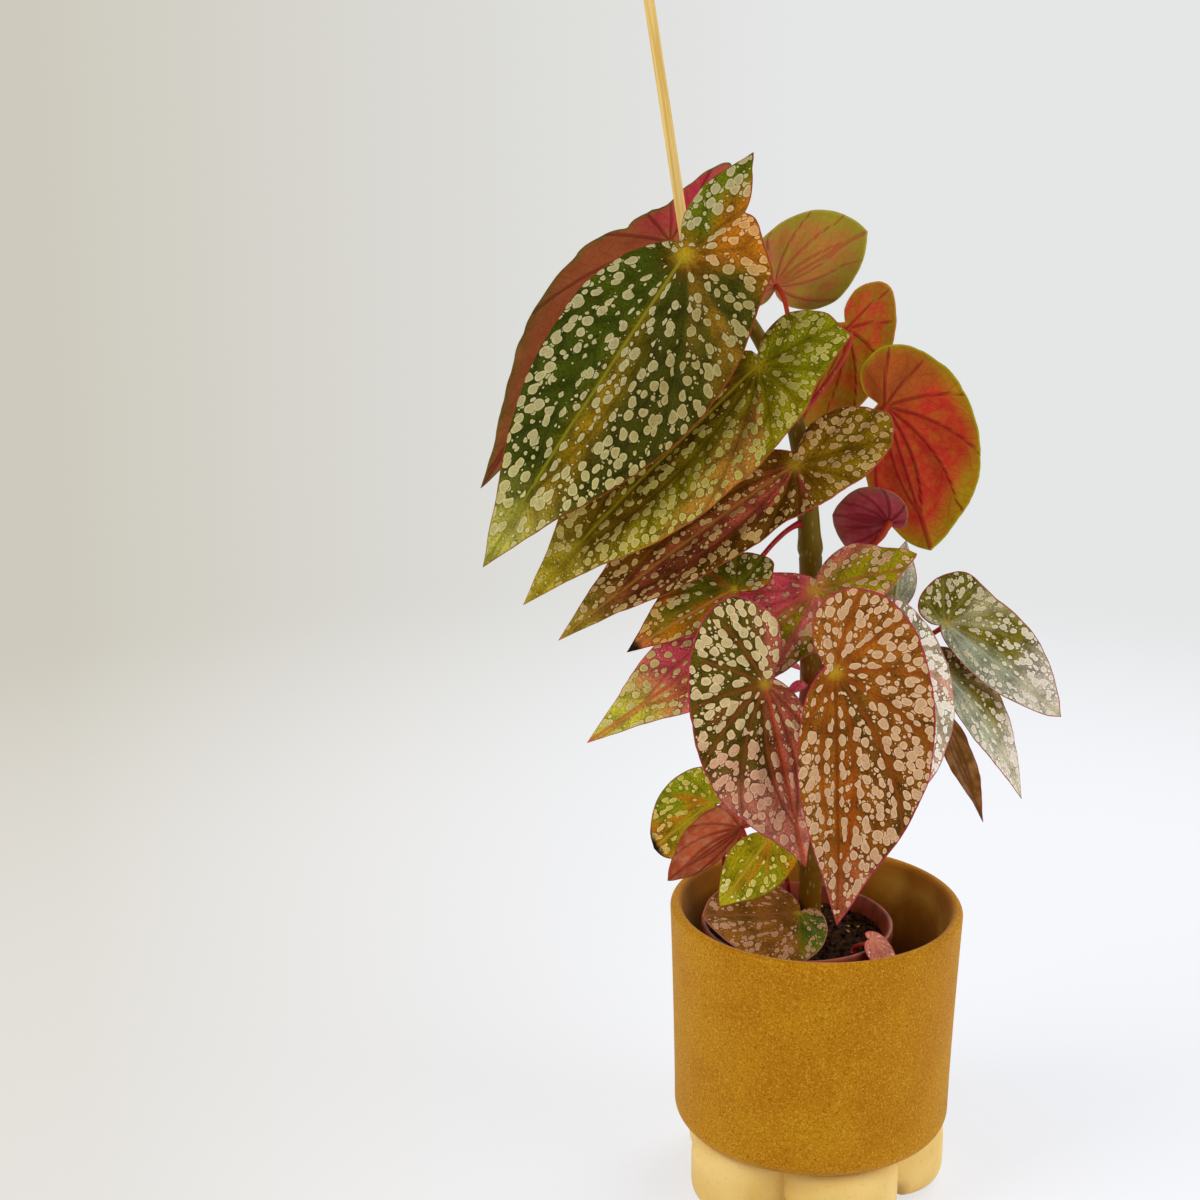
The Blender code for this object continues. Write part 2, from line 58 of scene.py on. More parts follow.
def lattice_noise(points, seed):
    """Value noise in -1..1: hashed values on a unit lattice, blended across each cell with an eased cube."""
    base = np.floor(points).astype(np.int64)
    part = points - base
    ease = part * part * (3 - 2 * part)
    total = np.zeros(len(points))
    for corner in range(8):
        step = np.array([corner & 1, corner >> 1 & 1, corner >> 2 & 1])
        cell = (base + step) * (73856093, 19349663, 83492791)
        mixed = cell[:, 0] ^ cell[:, 1] ^ cell[:, 2] ^ (seed * 2654435761)
        mixed = (mixed ^ (mixed >> 13)) * 1274126177
        value = ((mixed ^ (mixed >> 16)) & 0xFFFF) / 32767.5 - 1
        total += np.prod(np.where(step, ease, 1 - ease), axis=1) * value
    return total


def layered_noise(points, size, layers, seed):
    """Sum of value noises, each of half the size and half the height of the one before."""
    points = np.asarray(points, float) / size
    return sum(lattice_noise(points * 2 ** k, seed + k) / 2 ** k for k in range(layers)) / 1.6


def smooth_curve(points, count):
    """count points evenly spaced along a Catmull-Rom curve through the given points."""
    given = np.array(points, float)
    ends = np.vstack([2 * given[0] - given[1], given, 2 * given[-1] - given[-2]])
    steps = np.linspace(0, 1, 24, endpoint=False)[:, None]
    fine = []
    for a, b, c, d in zip(ends, ends[1:], ends[2:], ends[3:]):
        fine.append(0.5 * (2 * b + (c - a) * steps + (2 * a - 5 * b + 4 * c - d) * steps ** 2
                           + (3 * b - a - 3 * c + d) * steps ** 3))
    fine = np.vstack(fine + [given[-1:]])
    travel = np.concatenate([[0], np.cumsum(np.linalg.norm(np.diff(fine, axis=0), axis=1))])
    places = np.linspace(0, travel[-1], count)
    return np.column_stack([np.interp(places, travel, fine[:, axis]) for axis in range(fine.shape[1])])


def srgb(text):
    """Linear red, green and blue of an sRGB hex colour."""
    value = np.array([int(text[k:k + 2], 16) for k in (1, 3, 5)]) / 255
    return np.where(value <= 0.04045, value / 12.92, ((value + 0.055) / 1.055) ** 2.4)


def rgba(text):
    """The same with an alpha of 1, for a socket."""
    return (*srgb(text), 1.0)


# ---------------------------------------------------------------- meshes

def grid_faces(rows, columns):
    """Quads of a grid of points stored row by row, its last column joined to its first."""
    i, j = np.meshgrid(np.arange(rows - 1), np.arange(columns), indexing="ij")
    after = (j + 1) % columns
    corners = (i, j), (i, after), (i + 1, after), (i + 1, j)
    quads = np.stack([row * columns + column for row, column in corners], -1)
    return quads.reshape(-1, 4).tolist()


def fan_faces(tip, ring, columns, flip=False):
    """Triangles from one point to a ring of points."""
    faces = [(tip, ring + (k + 1) % columns, ring + k) for k in range(columns)]
    return [face[::-1] for face in faces] if flip else faces


def closed_faces(rows, columns):
    """Faces of a grid closed by two points stored after it, one for each end."""
    low, high = rows * columns, rows * columns + 1
    caps = fan_faces(low, 0, columns) + fan_faces(high, low - columns, columns, flip=True)
    return grid_faces(rows, columns) + caps


def make_piece(name, points, faces, finishes, nodes=(), values=None, finish_of_face=None):
    """Closed mesh object from points in millimetres, riding on the root; values are stored on its points."""
    mesh = bpy.data.meshes.new(name)
    mesh.from_pydata((np.asarray(points) * MM).tolist(), [], faces)
    for finish in finishes:
        mesh.materials.append(finish)
    if finish_of_face is not None:
        mesh.polygons.foreach_set("material_index", np.asarray(finish_of_face, np.int32))
    for key, value in (values or {}).items():
        value = np.asarray(value, np.float32)
        kind, field = ("FLOAT", "value") if value.ndim == 1 else ("FLOAT_VECTOR", "vector")
        mesh.attributes.new(key, kind, "POINT").data.foreach_set(field, value.ravel())
    shell = bmesh.new()
    shell.from_mesh(mesh)
    bmesh.ops.recalc_face_normals(shell, faces=shell.faces)
    shell.to_mesh(mesh)
    shell.free()
    mesh.shade_smooth()
    piece = bpy.data.objects.new(name, mesh)
    bpy.context.scene.collection.objects.link(piece)
    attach(piece, "root")
    if nodes:
        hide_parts(*nodes)


def all_round(count):
    """Angles of that many equal steps round a circle."""
    return np.linspace(0, 2 * math.pi, count, endpoint=False)


def ring_points(radius, turn, height, centre_x=0.0):
    """Points at these radii, angles and heights about an upright axis, row by row."""
    grid = np.broadcast_arrays(centre_x + radius * np.cos(turn), radius * np.sin(turn), height)
    return np.stack(grid, -1).reshape(-1, 3)


def turned_surface(profile, sides, centre_x=0.0):
    """Points and faces of a profile of (radius, height), from axis to axis, turned about an upright axis."""
    profile = np.asarray(profile, float)
    grid = ring_points(profile[1:-1, :1], all_round(sides), profile[1:-1, 1:], centre_x)
    ends = [[centre_x, 0, profile[0, 1]], [centre_x, 0, profile[-1, 1]]]
    return np.vstack([grid, ends]), closed_faces(len(profile) - 2, sides)


def tube_surface(line, radii, sides, ripple, seed):
    """Points and faces of a tube: rings of the given radii carried square to a line without twisting,
    made uneven by noise stretched along the tube, and closed by a shallow dome at each end."""
    line = np.asarray(line, float)
    along = np.gradient(line, axis=0)
    along /= np.linalg.norm(along, axis=1)[:, None]
    guide = np.cross(along[0], (0.3, 1.0, 0.2))
    guides = []
    for direction in along:
        guide = guide - direction * guide.dot(direction)
        guide = guide / np.linalg.norm(guide)
        guides.append(guide)
    guides = np.array(guides)
    turn = all_round(sides)[None, :, None]
    ring = np.cos(turn) * guides[:, None] + np.sin(turn) * np.cross(along, guides)[:, None]
    ring = ring * np.asarray(radii)[:, None, None]
    where = (line[:, None] + ring).reshape(-1, 3)
    rough = 1 + ripple * layered_noise(where * (1, 1, 0.25), 3.0, 2, seed).reshape(len(line), sides, 1)
    points = (line[:, None] + ring * rough).reshape(-1, 3)
    domes = [line[0] - along[0] * radii[0] * 0.15, line[-1] + along[-1] * radii[-1] * 0.15]
    return np.vstack([points, domes]), closed_faces(len(line), sides)


# ---------------------------------------------------------------- materials

PRINCIPLED = "Principled BSDF"
WARM_SHEEN = (0.9, 0.8, 0.4, 1.0)      # tint of a shine, red, green, blue and alpha
LEAF_SHEEN = {"Specular IOR Level": 0.05, "Specular Tint": WARM_SHEEN}
BUMP_STRENGTH = 0.8
EASED = {"interpolation_type": "SMOOTHSTEP"}


def add(tree, kind, *sources, out=0, **settings):
    """Adds one node with its settings and feeds its usable inputs in order, each with a value or an output;
    None leaves an input alone. Returns the usable output of that number or name."""
    node = tree.nodes.new("ShaderNode" + kind)
    for key, value in settings.items():
        setattr(node, key, value)
    usable = [socket for socket in node.inputs if socket.enabled]
    for socket, source in zip(usable, sources):
        if isinstance(source, bpy.types.NodeSocket):
            tree.links.new(source, socket)
        elif source is not None:
            socket.default_value = source
    outputs = [socket for socket in node.outputs if socket.enabled]
    return outputs[out] if isinstance(out, int) else node.outputs[out]


def new_finish(name, sockets):
    """Material whose Principled shader has these socket values, and its node tree."""
    made = bpy.data.materials.new(name)
    made.use_nodes = True
    for key, value in sockets.items():
        made.node_tree.nodes[PRINCIPLED].inputs[key].default_value = value
    return made, made.node_tree


def finish_with(made, colour, height, depth):
    """Wires a colour and a bump, its depth in metres, to the material's shader; returns the material."""
    tree = made.node_tree
    shader = tree.nodes[PRINCIPLED]
    tree.links.new(colour, shader.inputs["Base Color"])
    tree.links.new(add(tree, "Bump", BUMP_STRENGTH, depth, None, height), shader.inputs["Normal"])
    return made


# blisters of a leaf: spacing, radius and share of places taken, in units of the leaf's own spot spacing
BLISTERS = [(1.0, 0.29, 0.86), (0.62, 0.14, 0.45), (0.4, 0.06, 0.3)]
BLISTER_GAP = 0.05      # tissue left between two blisters, in the same units
FOREVER = 9.0           # stands for a blister that is not there
BLISTER_DRAWN = 0.45    # by how much less a squared distance counts along the line from the joint
JITTER = 0.85           # how freely a blister may stray inside its cell of the lattice, 0 to 1
SIDE_VEIN_STEP = 8.0    # mm between the side veins of a main vein
SIDE_VEIN_SLANT = 1.15  # how steeply they leave it


def blister_edge(tree, place, start, cover, grow):
    """Distance past the nearest blister's edge, below 0 inside. Blisters are centred on jittered lattices,
    drawn out by a third along the line from the leaf's joint, and smaller ones keep clear of larger ones."""
    edge = None
    for spacing, radius, share in BLISTERS:
        scale = 1.0 / spacing
        cells = add(tree, "TexVoronoi", place, scale, voronoi_dimensions="2D").node
        cells.inputs["Randomness"].default_value = JITTER
        outwards = add(tree, "VectorMath", cells.outputs["Position"], start, operation="SUBTRACT")
        outwards = add(tree, "VectorMath", outwards, operation="NORMALIZE")
        offset = add(tree, "VectorMath", place, cells.outputs["Position"], operation="SUBTRACT")
        along = add(tree, "VectorMath", offset, outwards, operation="DOT_PRODUCT", out="Value")
        square = add(tree, "VectorMath", offset, offset, operation="DOT_PRODUCT", out="Value")
        along = add(tree, "Math", along, along, operation="MULTIPLY")
        square = add(tree, "Math", along, -BLISTER_DRAWN, square, operation="MULTIPLY_ADD")
        away = add(tree, "Math", square, operation="SQRT")
        reach = add(tree, "Math", grow, 0.5 * radius, radius * 0.85, operation="MULTIPLY_ADD")
        chance = add(tree, "Math", cover, share, operation="ADD")
        lot = add(tree, "SeparateColor", cells.outputs["Color"])
        absent = add(tree, "Math", lot, chance, operation="GREATER_THAN")
        away = add(tree, "Math", absent, FOREVER, away, operation="MULTIPLY_ADD")
        past = add(tree, "Math", away, reach, operation="SUBTRACT")
        if edge is None:
            edge = past
            continue
        clear = add(tree, "Math", BLISTER_GAP, edge, operation="SUBTRACT")
        past = add(tree, "Math", past, clear, operation="MAXIMUM")
        edge = add(tree, "Math", edge, past, operation="MINIMUM")
    return edge


def side_veins(tree, gap, along, step, width, reach):
    """1 on the side veins, which leave each main vein at a slant, a step apart, and fade at their reach."""
    slant = add(tree, "Math", gap, -SIDE_VEIN_SLANT, along, operation="MULTIPLY_ADD")
    phase = add(tree, "Math", add(tree, "Math", slant, step, operation="DIVIDE"), operation="FRACT")
    off = add(tree, "Math", add(tree, "Math", phase, 0.5, operation="SUBTRACT"), operation="ABSOLUTE")
    line = add(tree, "MapRange", off, width, 0.0, **EASED)
    return add(tree, "Math", line, add(tree, "MapRange", gap, reach, 0.4 * reach), operation="MULTIPLY")


def leaf_cuticle():
    """Living begonia leaf, upper side: a satin skin over dark green or red tissue, with pale blisters where
    air lies under the skin, each with a brighter rim that is a painted highlight and a darker line round it
    that is a painted shadow."""
    made, tree = new_finish("living_leaf_cuticle", LEAF_SHEEN)
    ground, ink, pale, blister_highlight, rim = (
        add(tree, "Attribute", attribute_name=key, out="Color")
        for key in ("ground_colour", "vein_colour", "blister_colour", "blister_highlight_colour", "rim_colour"))
    flat, place, start = (add(tree, "Attribute", attribute_name=key, out="Vector")
                          for key in ("flat_place", "blister_place", "blister_start"))
    gap, along, edge, cover, bold = (add(tree, "Attribute", attribute_name=key, out="Fac")
                                     for key in ("vein_gap", "vein_along", "edge_gap", "cover", "vein_bold"))

    # the blisters wander, grow and shrink from place to place, and shrink away from veins and rim
    wander = add(tree, "TexNoise", place, 1.6, 0.0, noise_dimensions="2D", out=1)
    wander = add(tree, "VectorMath", wander, (0.5, 0.5, 0.5), operation="SUBTRACT")
    wander = add(tree, "VectorMath", wander, 0.18, operation="SCALE")
    wandered = add(tree, "VectorMath", place, wander, operation="ADD")
    swell = add(tree, "TexNoise", place, 0.8, 1.0, noise_dimensions="2D")
    grow = add(tree, "MapRange", swell, 0.3, 0.7, -0.35, 0.9)
    grow = add(tree, "Math", cover, 1.6, grow, operation="MULTIPLY_ADD")
    past = blister_edge(tree, wandered, start, cover, grow)
    vein_clear = add(tree, "MapRange", gap, 1.9, 0.4, 0.0, 0.3)
    rim_clear = add(tree, "MapRange", edge, 1.4, 0.2, 0.0, 0.25)
    past = add(tree, "Math", add(tree, "Math", past, vein_clear, operation="ADD"), rim_clear, operation="ADD")
    blister = add(tree, "MapRange", past, 0.02, -0.02, **EASED)
    inner = add(tree, "MapRange", past, -0.04, -0.13, **EASED)
    line = add(tree, "MapRange", past, 0.11, 0.02, **EASED)

    # tissue: mottled cell by cell; painted shade darkens the furrows and lightens the ridges between them,
    # and a painted shadow darkens the line round each blister
    mottle = add(tree, "TexNoise", flat, 0.9, 3.0, noise_dimensions="2D")
    shade = add(tree, "MapRange", mottle, 0.3, 0.7, 0.72, 1.3)
    # painted shade: the tissue drops to 0.68 in the furrows along every other side vein and rises to 1.1
    # between them
    furrow_shade = side_veins(tree, gap, along, 2 * SIDE_VEIN_STEP, 0.3, 60.0)
    shade = add(tree, "Math", add(tree, "Math", furrow_shade, -0.42, 1.1, operation="MULTIPLY_ADD"), shade,
                operation="MULTIPLY")
    colour = add(tree, "VectorMath", ground, shade, operation="SCALE")
    side_vein = side_veins(tree, gap, along, SIDE_VEIN_STEP, 0.07, 12.0)
    main_vein = add(tree, "MapRange", gap, 1.1, 0.25, **EASED)
    for vein, strength in ((side_vein, 0.35), (main_vein, bold)):
        share = add(tree, "Math", vein, strength, operation="MULTIPLY")
        colour = add(tree, "Mix", share, colour, ink, data_type="RGBA")
    # painted shadow: the tissue in a thin line round each blister is darkened
    dark = add(tree, "VectorMath", colour, 0.42, operation="SCALE")
    blister_shadow = add(tree, "Math", line, 0.6, operation="MULTIPLY")
    colour = add(tree, "Mix", blister_shadow, colour, dark, data_type="RGBA")

    # blister: bright rim, a painted highlight, duller and cloudy inside
    cloud = add(tree, "TexNoise", flat, 1.4, 2.0, noise_dimensions="2D")
    clouded = add(tree, "MapRange", cloud, 0.35, 0.65, 0.8, 1.05)
    inside = add(tree, "VectorMath", pale, clouded, operation="SCALE")
    skin = add(tree, "Mix", inner, blister_highlight, inside, data_type="RGBA")
    colour = add(tree, "Mix", blister, colour, skin, data_type="RGBA")
    rim_share = add(tree, "MapRange", edge, 0.8, 0.3, **EASED)
    colour = add(tree, "Mix", rim_share, colour, rim, data_type="RGBA")

    satin = add(tree, "MapRange", cloud, 0.3, 0.7, 0.38, 0.55)
    tree.links.new(satin, tree.nodes[PRINCIPLED].inputs["Roughness"])
    height = mottle
    for raised, rise in ((blister, 0.5), (side_vein, -0.5), (main_vein, -0.9)):
        height = add(tree, "Math", raised, rise, height, operation="MULTIPLY_ADD")
    return finish_with(made, colour, height, 0.00045)


def leaf_underside():
    """Living begonia leaf, underside: matt red or olive tissue, its net of veins standing out and darker, and
    the blisters of the upper side only ghosted."""
    made, tree = new_finish("living_leaf_underside", {"Roughness": 0.5, **LEAF_SHEEN})
    ground, ink, pale, rim = (add(tree, "Attribute", attribute_name=key, out="Color")
                              for key in ("ground_colour", "vein_colour", "blister_colour", "rim_colour"))
    flat = add(tree, "Attribute", attribute_name="flat_place", out="Vector")
    gap, along, edge = (add(tree, "Attribute", attribute_name=key, out="Fac")
                        for key in ("vein_gap", "vein_along", "edge_gap"))
    blotch = add(tree, "TexNoise", flat, 0.13, 4.0, noise_dimensions="2D")
    ghost = add(tree, "TexVoronoi", flat, 0.2, voronoi_dimensions="2D", feature="SMOOTH_F1")
    ghost = add(tree, "MapRange", ghost, 0.4, 0.15, 0.0, 0.3)
    share = add(tree, "MapRange", blotch, 0.45, 0.7, 0.0, 0.6)
    share = add(tree, "Math", share, ghost, operation="MAXIMUM")
    colour = add(tree, "Mix", share, ground, pale, data_type="RGBA")
    net = add(tree, "TexVoronoi", flat, 0.28, voronoi_dimensions="2D", feature="DISTANCE_TO_EDGE")
    net = add(tree, "MapRange", net, 0.07, 0.0, 0.0, 0.3)
    side_vein = side_veins(tree, gap, along, SIDE_VEIN_STEP * 1.4, 0.08, 14.0)
    wide_vein = add(tree, "MapRange", gap, 1.2, 0.2, **EASED)
    side_ink = add(tree, "Math", side_vein, 0.28, operation="MULTIPLY")
    main_ink = add(tree, "Math", wide_vein, 0.7, operation="MULTIPLY")
    veins = add(tree, "Math", side_ink, main_ink, operation="MAXIMUM")
    veins = add(tree, "Math", veins, net, operation="MAXIMUM")
    colour = add(tree, "Mix", veins, colour, ink, data_type="RGBA")
    rim_share = add(tree, "MapRange", edge, 1.2, 0.3, **EASED)
    colour = add(tree, "Mix", rim_share, colour, rim, data_type="RGBA")
    height = add(tree, "Math", wide_vein, 1.6, veins, operation="MULTIPLY_ADD")
    return finish_with(made, colour, height, 0.0004)


# ---------------------------------------------------------------- leaves

# Outline of a leaf of length 1, petiole joint at (0, 0), tip at (1, 0); the broad side carries the ear.
BROAD_SIDE = [(-0.03, -0.04), (-0.12, -0.08), (-0.24, -0.06), (-0.32, 0.05), (-0.30, 0.18), (-0.20, 0.30),
              (-0.05, 0.37), (0.12, 0.40), (0.30, 0.40), (0.48, 0.36), (0.65, 0.26), (0.82, 0.12), (1, 0)]
NARROW_SIDE = [(1, 0), (0.84, -0.06), (0.66, -0.13), (0.45, -0.18), (0.25, -0.18), (0.10, -0.14),
               (0.02, -0.09), (-0.02, -0.05)]
# The same for a leaf that is round all the way, with hardly a tip.
ROUND_BROAD_SIDE = [(-0.03, -0.04), (-0.13, -0.10), (-0.26, -0.07), (-0.35, 0.06), (-0.34, 0.21),
                    (-0.23, 0.35), (-0.06, 0.45), (0.14, 0.50), (0.36, 0.50), (0.60, 0.44), (0.80, 0.31),
                    (0.94, 0.15), (1, 0)]
ROUND_NARROW_SIDE = [(1, 0), (0.96, -0.09), (0.84, -0.18), (0.60, -0.25), (0.32, -0.23), (0.12, -0.16),
                     (0.02, -0.10), (-0.02, -0.05)]
BROAD_SHARE = 0.62      # share of the rim's points on the broad side
BLADE_THICKNESS = 0.7
CAD_BLADE_THICKNESS = 0.9
FOLD = math.tan(math.radians(10))   # slope of each half of a leaf, up from the midrib
FOLD_ROUNDING = 0.02                # the fold is rounded over this share of the length
CUP = 0.3                           # how far the halves curve back down
SCALLOPS = [(28.0, 3.0), (12.0, 1.3), (3.2, 0.5)]      # size along the rim and depth, mm
SCALLOPED_LENGTH = 90.0             # mm; shorter leaves have shallower scallops
PANEL_EDGE = 4.0                    # mm from a main vein to where the tissue between veins has swollen
PANEL_RISE, PLEAT_RISE = 1.2, 1.4   # mm by which it swells, and by which it pleats between side veins
VEIN_SINK = 1.3
WARP_DEPTH, WARP_SIZE = 1.6, 45.0   # mm
RIM_WAVE = 0.0075                   # height of a wave of the rim, in shares of the length
RIM_WAVES = (5, 9, 14, 23)          # waves to the round
POINTS_PER_MM, RINGS_PER_MM = 1.7, 0.5      # mesh points round a leaf and rings across it, for its length

# main veins: degrees from the midrib, plus on the broad side
VEIN_TURNS = (0, 17, 36, 60, 92, 130, 165, -16, -34, -62)
VEIN_BEND = 12          # degrees by which they lean back towards the midrib further out

# Colours of an upper side. Tissue: the narrow side of the midrib, the broad side, streaks that follow the
# veins, round the midrib (heart), on the ear and at the tip. Then the midrib, the other veins, blisters near
# the joint and far from it, and the rim. dark_green adds the ear's tip and its blisters' colours on the broad
# side and on the ear.
UPPER_COLOURS = "narrow broad streak heart ear tip midrib vein blister far rim".split()


def upper_look(colours, spacing, cover=0.0, bold=0.3, streaks=0.0, tip_from=0.68, **more):
    """Linear colours by name, and: spacing, mm between large blisters; cover, more or fewer, bigger or
    smaller; bold, how plain the veins are; streaks, more or fewer; tip_from, share of the length where the
    tip's colour starts."""
    named = dict(zip(UPPER_COLOURS, colours.split()), **more)
    return dict(colours={key: srgb(value) for key, value in named.items()}, spacing=spacing, cover=cover,
                bold=bold, streaks=streaks, tip_from=tip_from)


UPPER = {
    "dark_green": upper_look("#384006 #363406 #745210 #8c6a0c #9c5c10 #98903c #7c7818 #34380a "
        "#a4996a #b0a468 #8c3420", ear_tip="#586008", blister_broad="#968652", blister_ear="#c89254",
        spacing=6.4, cover=-0.02, bold=0.35, streaks=-0.02),
    "olive": upper_look("#604806 #7c7006 #a0602c #5c3808 #7c7c08 #a08c20 #98881c #68500c "
        "#aca04c #b8a458 #9a4a28", spacing=4.8, cover=-0.01, bold=0.4, streaks=-0.04),
    "bronze": upper_look("#643c08 #603a08 #a84838 #542c08 #886808 #9c8c28 #9c7024 #643c0c "
        "#b89458 #b8985c #a8483c", spacing=4.8, cover=-0.01, bold=0.4, streaks=0.12),
    "small_olive": upper_look("#985c08 #504a06 #8c4c12 #785c0c #545006 #a8502c #a0702c #6a5a18 "
        "#aa9a66 #b88c44 #8c2828", spacing=4.4, streaks=0.1),
    "variegated": upper_look("#c84c58 #7c7008 #c85860 #a84428 #84780a #b4b034 #c04c3c #a84c34 "
        "#c49c70 #c4b46c #b84858", spacing=5.0, cover=-0.03, bold=0.6, streaks=0.25, tip_from=0.58),
    "dark_rose": upper_look("#a85440 #50400c #744414 #8c3814 #50440c #b46854 #a8401c #7c3c1c "
        "#c4ac7c #cc9878 #a82c48", spacing=5.7, cover=0.14, bold=0.7, tip_from=0.35),
    "copper": upper_look("#864e10 #7c460e #5c3c10 #8c440e #8c5014 #a85840 #70300a #8c3c10 "
        "#c49c74 #bc9470 #a82050", spacing=5.6, cover=0.15, bold=0.6),
    "silver_rose": upper_look("#b4a088 #9c8c70 #b88c74 #8c6448 #84805c #b88c78 #a07858 #a07c64 "
        "#e6dac8 #eadfd0 #b06070", spacing=5.0, cover=0.2),
    # painted sheen: the silvery grey narrow side, the pale tip and the near-white blisters far out paint a
    # window's reflection into the tissue's colour; the olive broad side and the red rim are the leaf's own
    "green_with_painted_sheen": upper_look("#9ca088 #746810 #9c9464 #9c9c70 #686010 #c4b8a4 #a8a880 #8c8454 "
        "#c8bc94 #e0d4c0 #9c2c3c", spacing=4.4, cover=0.06, streaks=0.1, tip_from=0.45),
    "lime": upper_look("#8c8006 #848008 #a8680c #98740c #94880c #9c9814 #b08c24 #98801c "
        "#c0b050 #c8bc6c #7c5418", spacing=5.0, streaks=0.1),
    "lime_far": upper_look("#8c7c06 #788008 #b07010 #a0780c #8c880c #a8640c #b08c24 #98801c "
        "#c0b050 #c8a454 #7c5418", spacing=4.6, streaks=0.1),
    "dusty": upper_look("#7c4c14 #845418 #6c5814 #64480c #506408 #8c582c #84502c #6c4820 "
        "#ac805c #b48864 #a86854", spacing=3.8),
    "stipule": upper_look("#c8505c #cc6068 #d88480 #c04854 #c8505c #dc9890 #b83048 #c04c58 "
        "#dc9c98 #dc9c98 #c04450", spacing=3.0, cover=-0.5, streaks=0.2),
    "seedling": upper_look("#c87860 #cc8068 #c46c54 #bc6048 #cc8068 #d08c70 #b45440 #bc6450 "
        "#e0ac94 #e0ac94 #b85048", spacing=3.0, cover=-0.2, bold=0.5),
}

JOINT_YELLOW = "#b49c20"    # tissue where the veins meet over the petiole
DRY_TISSUE = "#1e1008"      # dead, dried tip of a leaf
DRY_TIPS = ("small_olive", "lime_far")      # leaves that have dried up at the tip

# Colours of an underside: tissue, second tissue colour in blotches, ear, a wide band inside the rim, veins
# and rim.
UNDER_COLOURS = "ground ghost ear band vein rim".split()


def under_look(colours, band_from=0.72):
    """Linear colours by name, and band_from, share of the way out to the rim where the band starts."""
    named = dict(zip(UNDER_COLOURS, colours.split()))
    return dict(colours={key: srgb(value) for key, value in named.items()}, band_from=band_from)


UNDER = {
    "brown_rose": under_look("#98502c #a86038 #c0344c #586420 #74241c #586420", band_from=0.84),
    "olive_orange": under_look("#b07034 #888c20 #bc6850 #8c8c20 #a8482c #a89440"),
    "ruffled_red": under_look("#a44810 #7c7808 #b43c20 #8c6c14 #84180c #b8742c"),
    "lit_red": under_look("#bc3424 #b4641c #a85424 #94900c #8c141c #a09820", band_from=0.78),
    "stipule": under_look("#cc6068 #d88480 #c8505c #dc9890 #b83048 #c04450"),
    "plum": under_look("#9c343c #ac585c #ac4048 #84543c #801c28 #a06054"),
    "rust": under_look("#c05c38 #d09068 #b05434 #9c4424 #8c2c1c #a04430"),
    "dull_brown": under_look("#946428 #c89860 #a06834 #8c502c #7c4818 #8c4c30"),
}

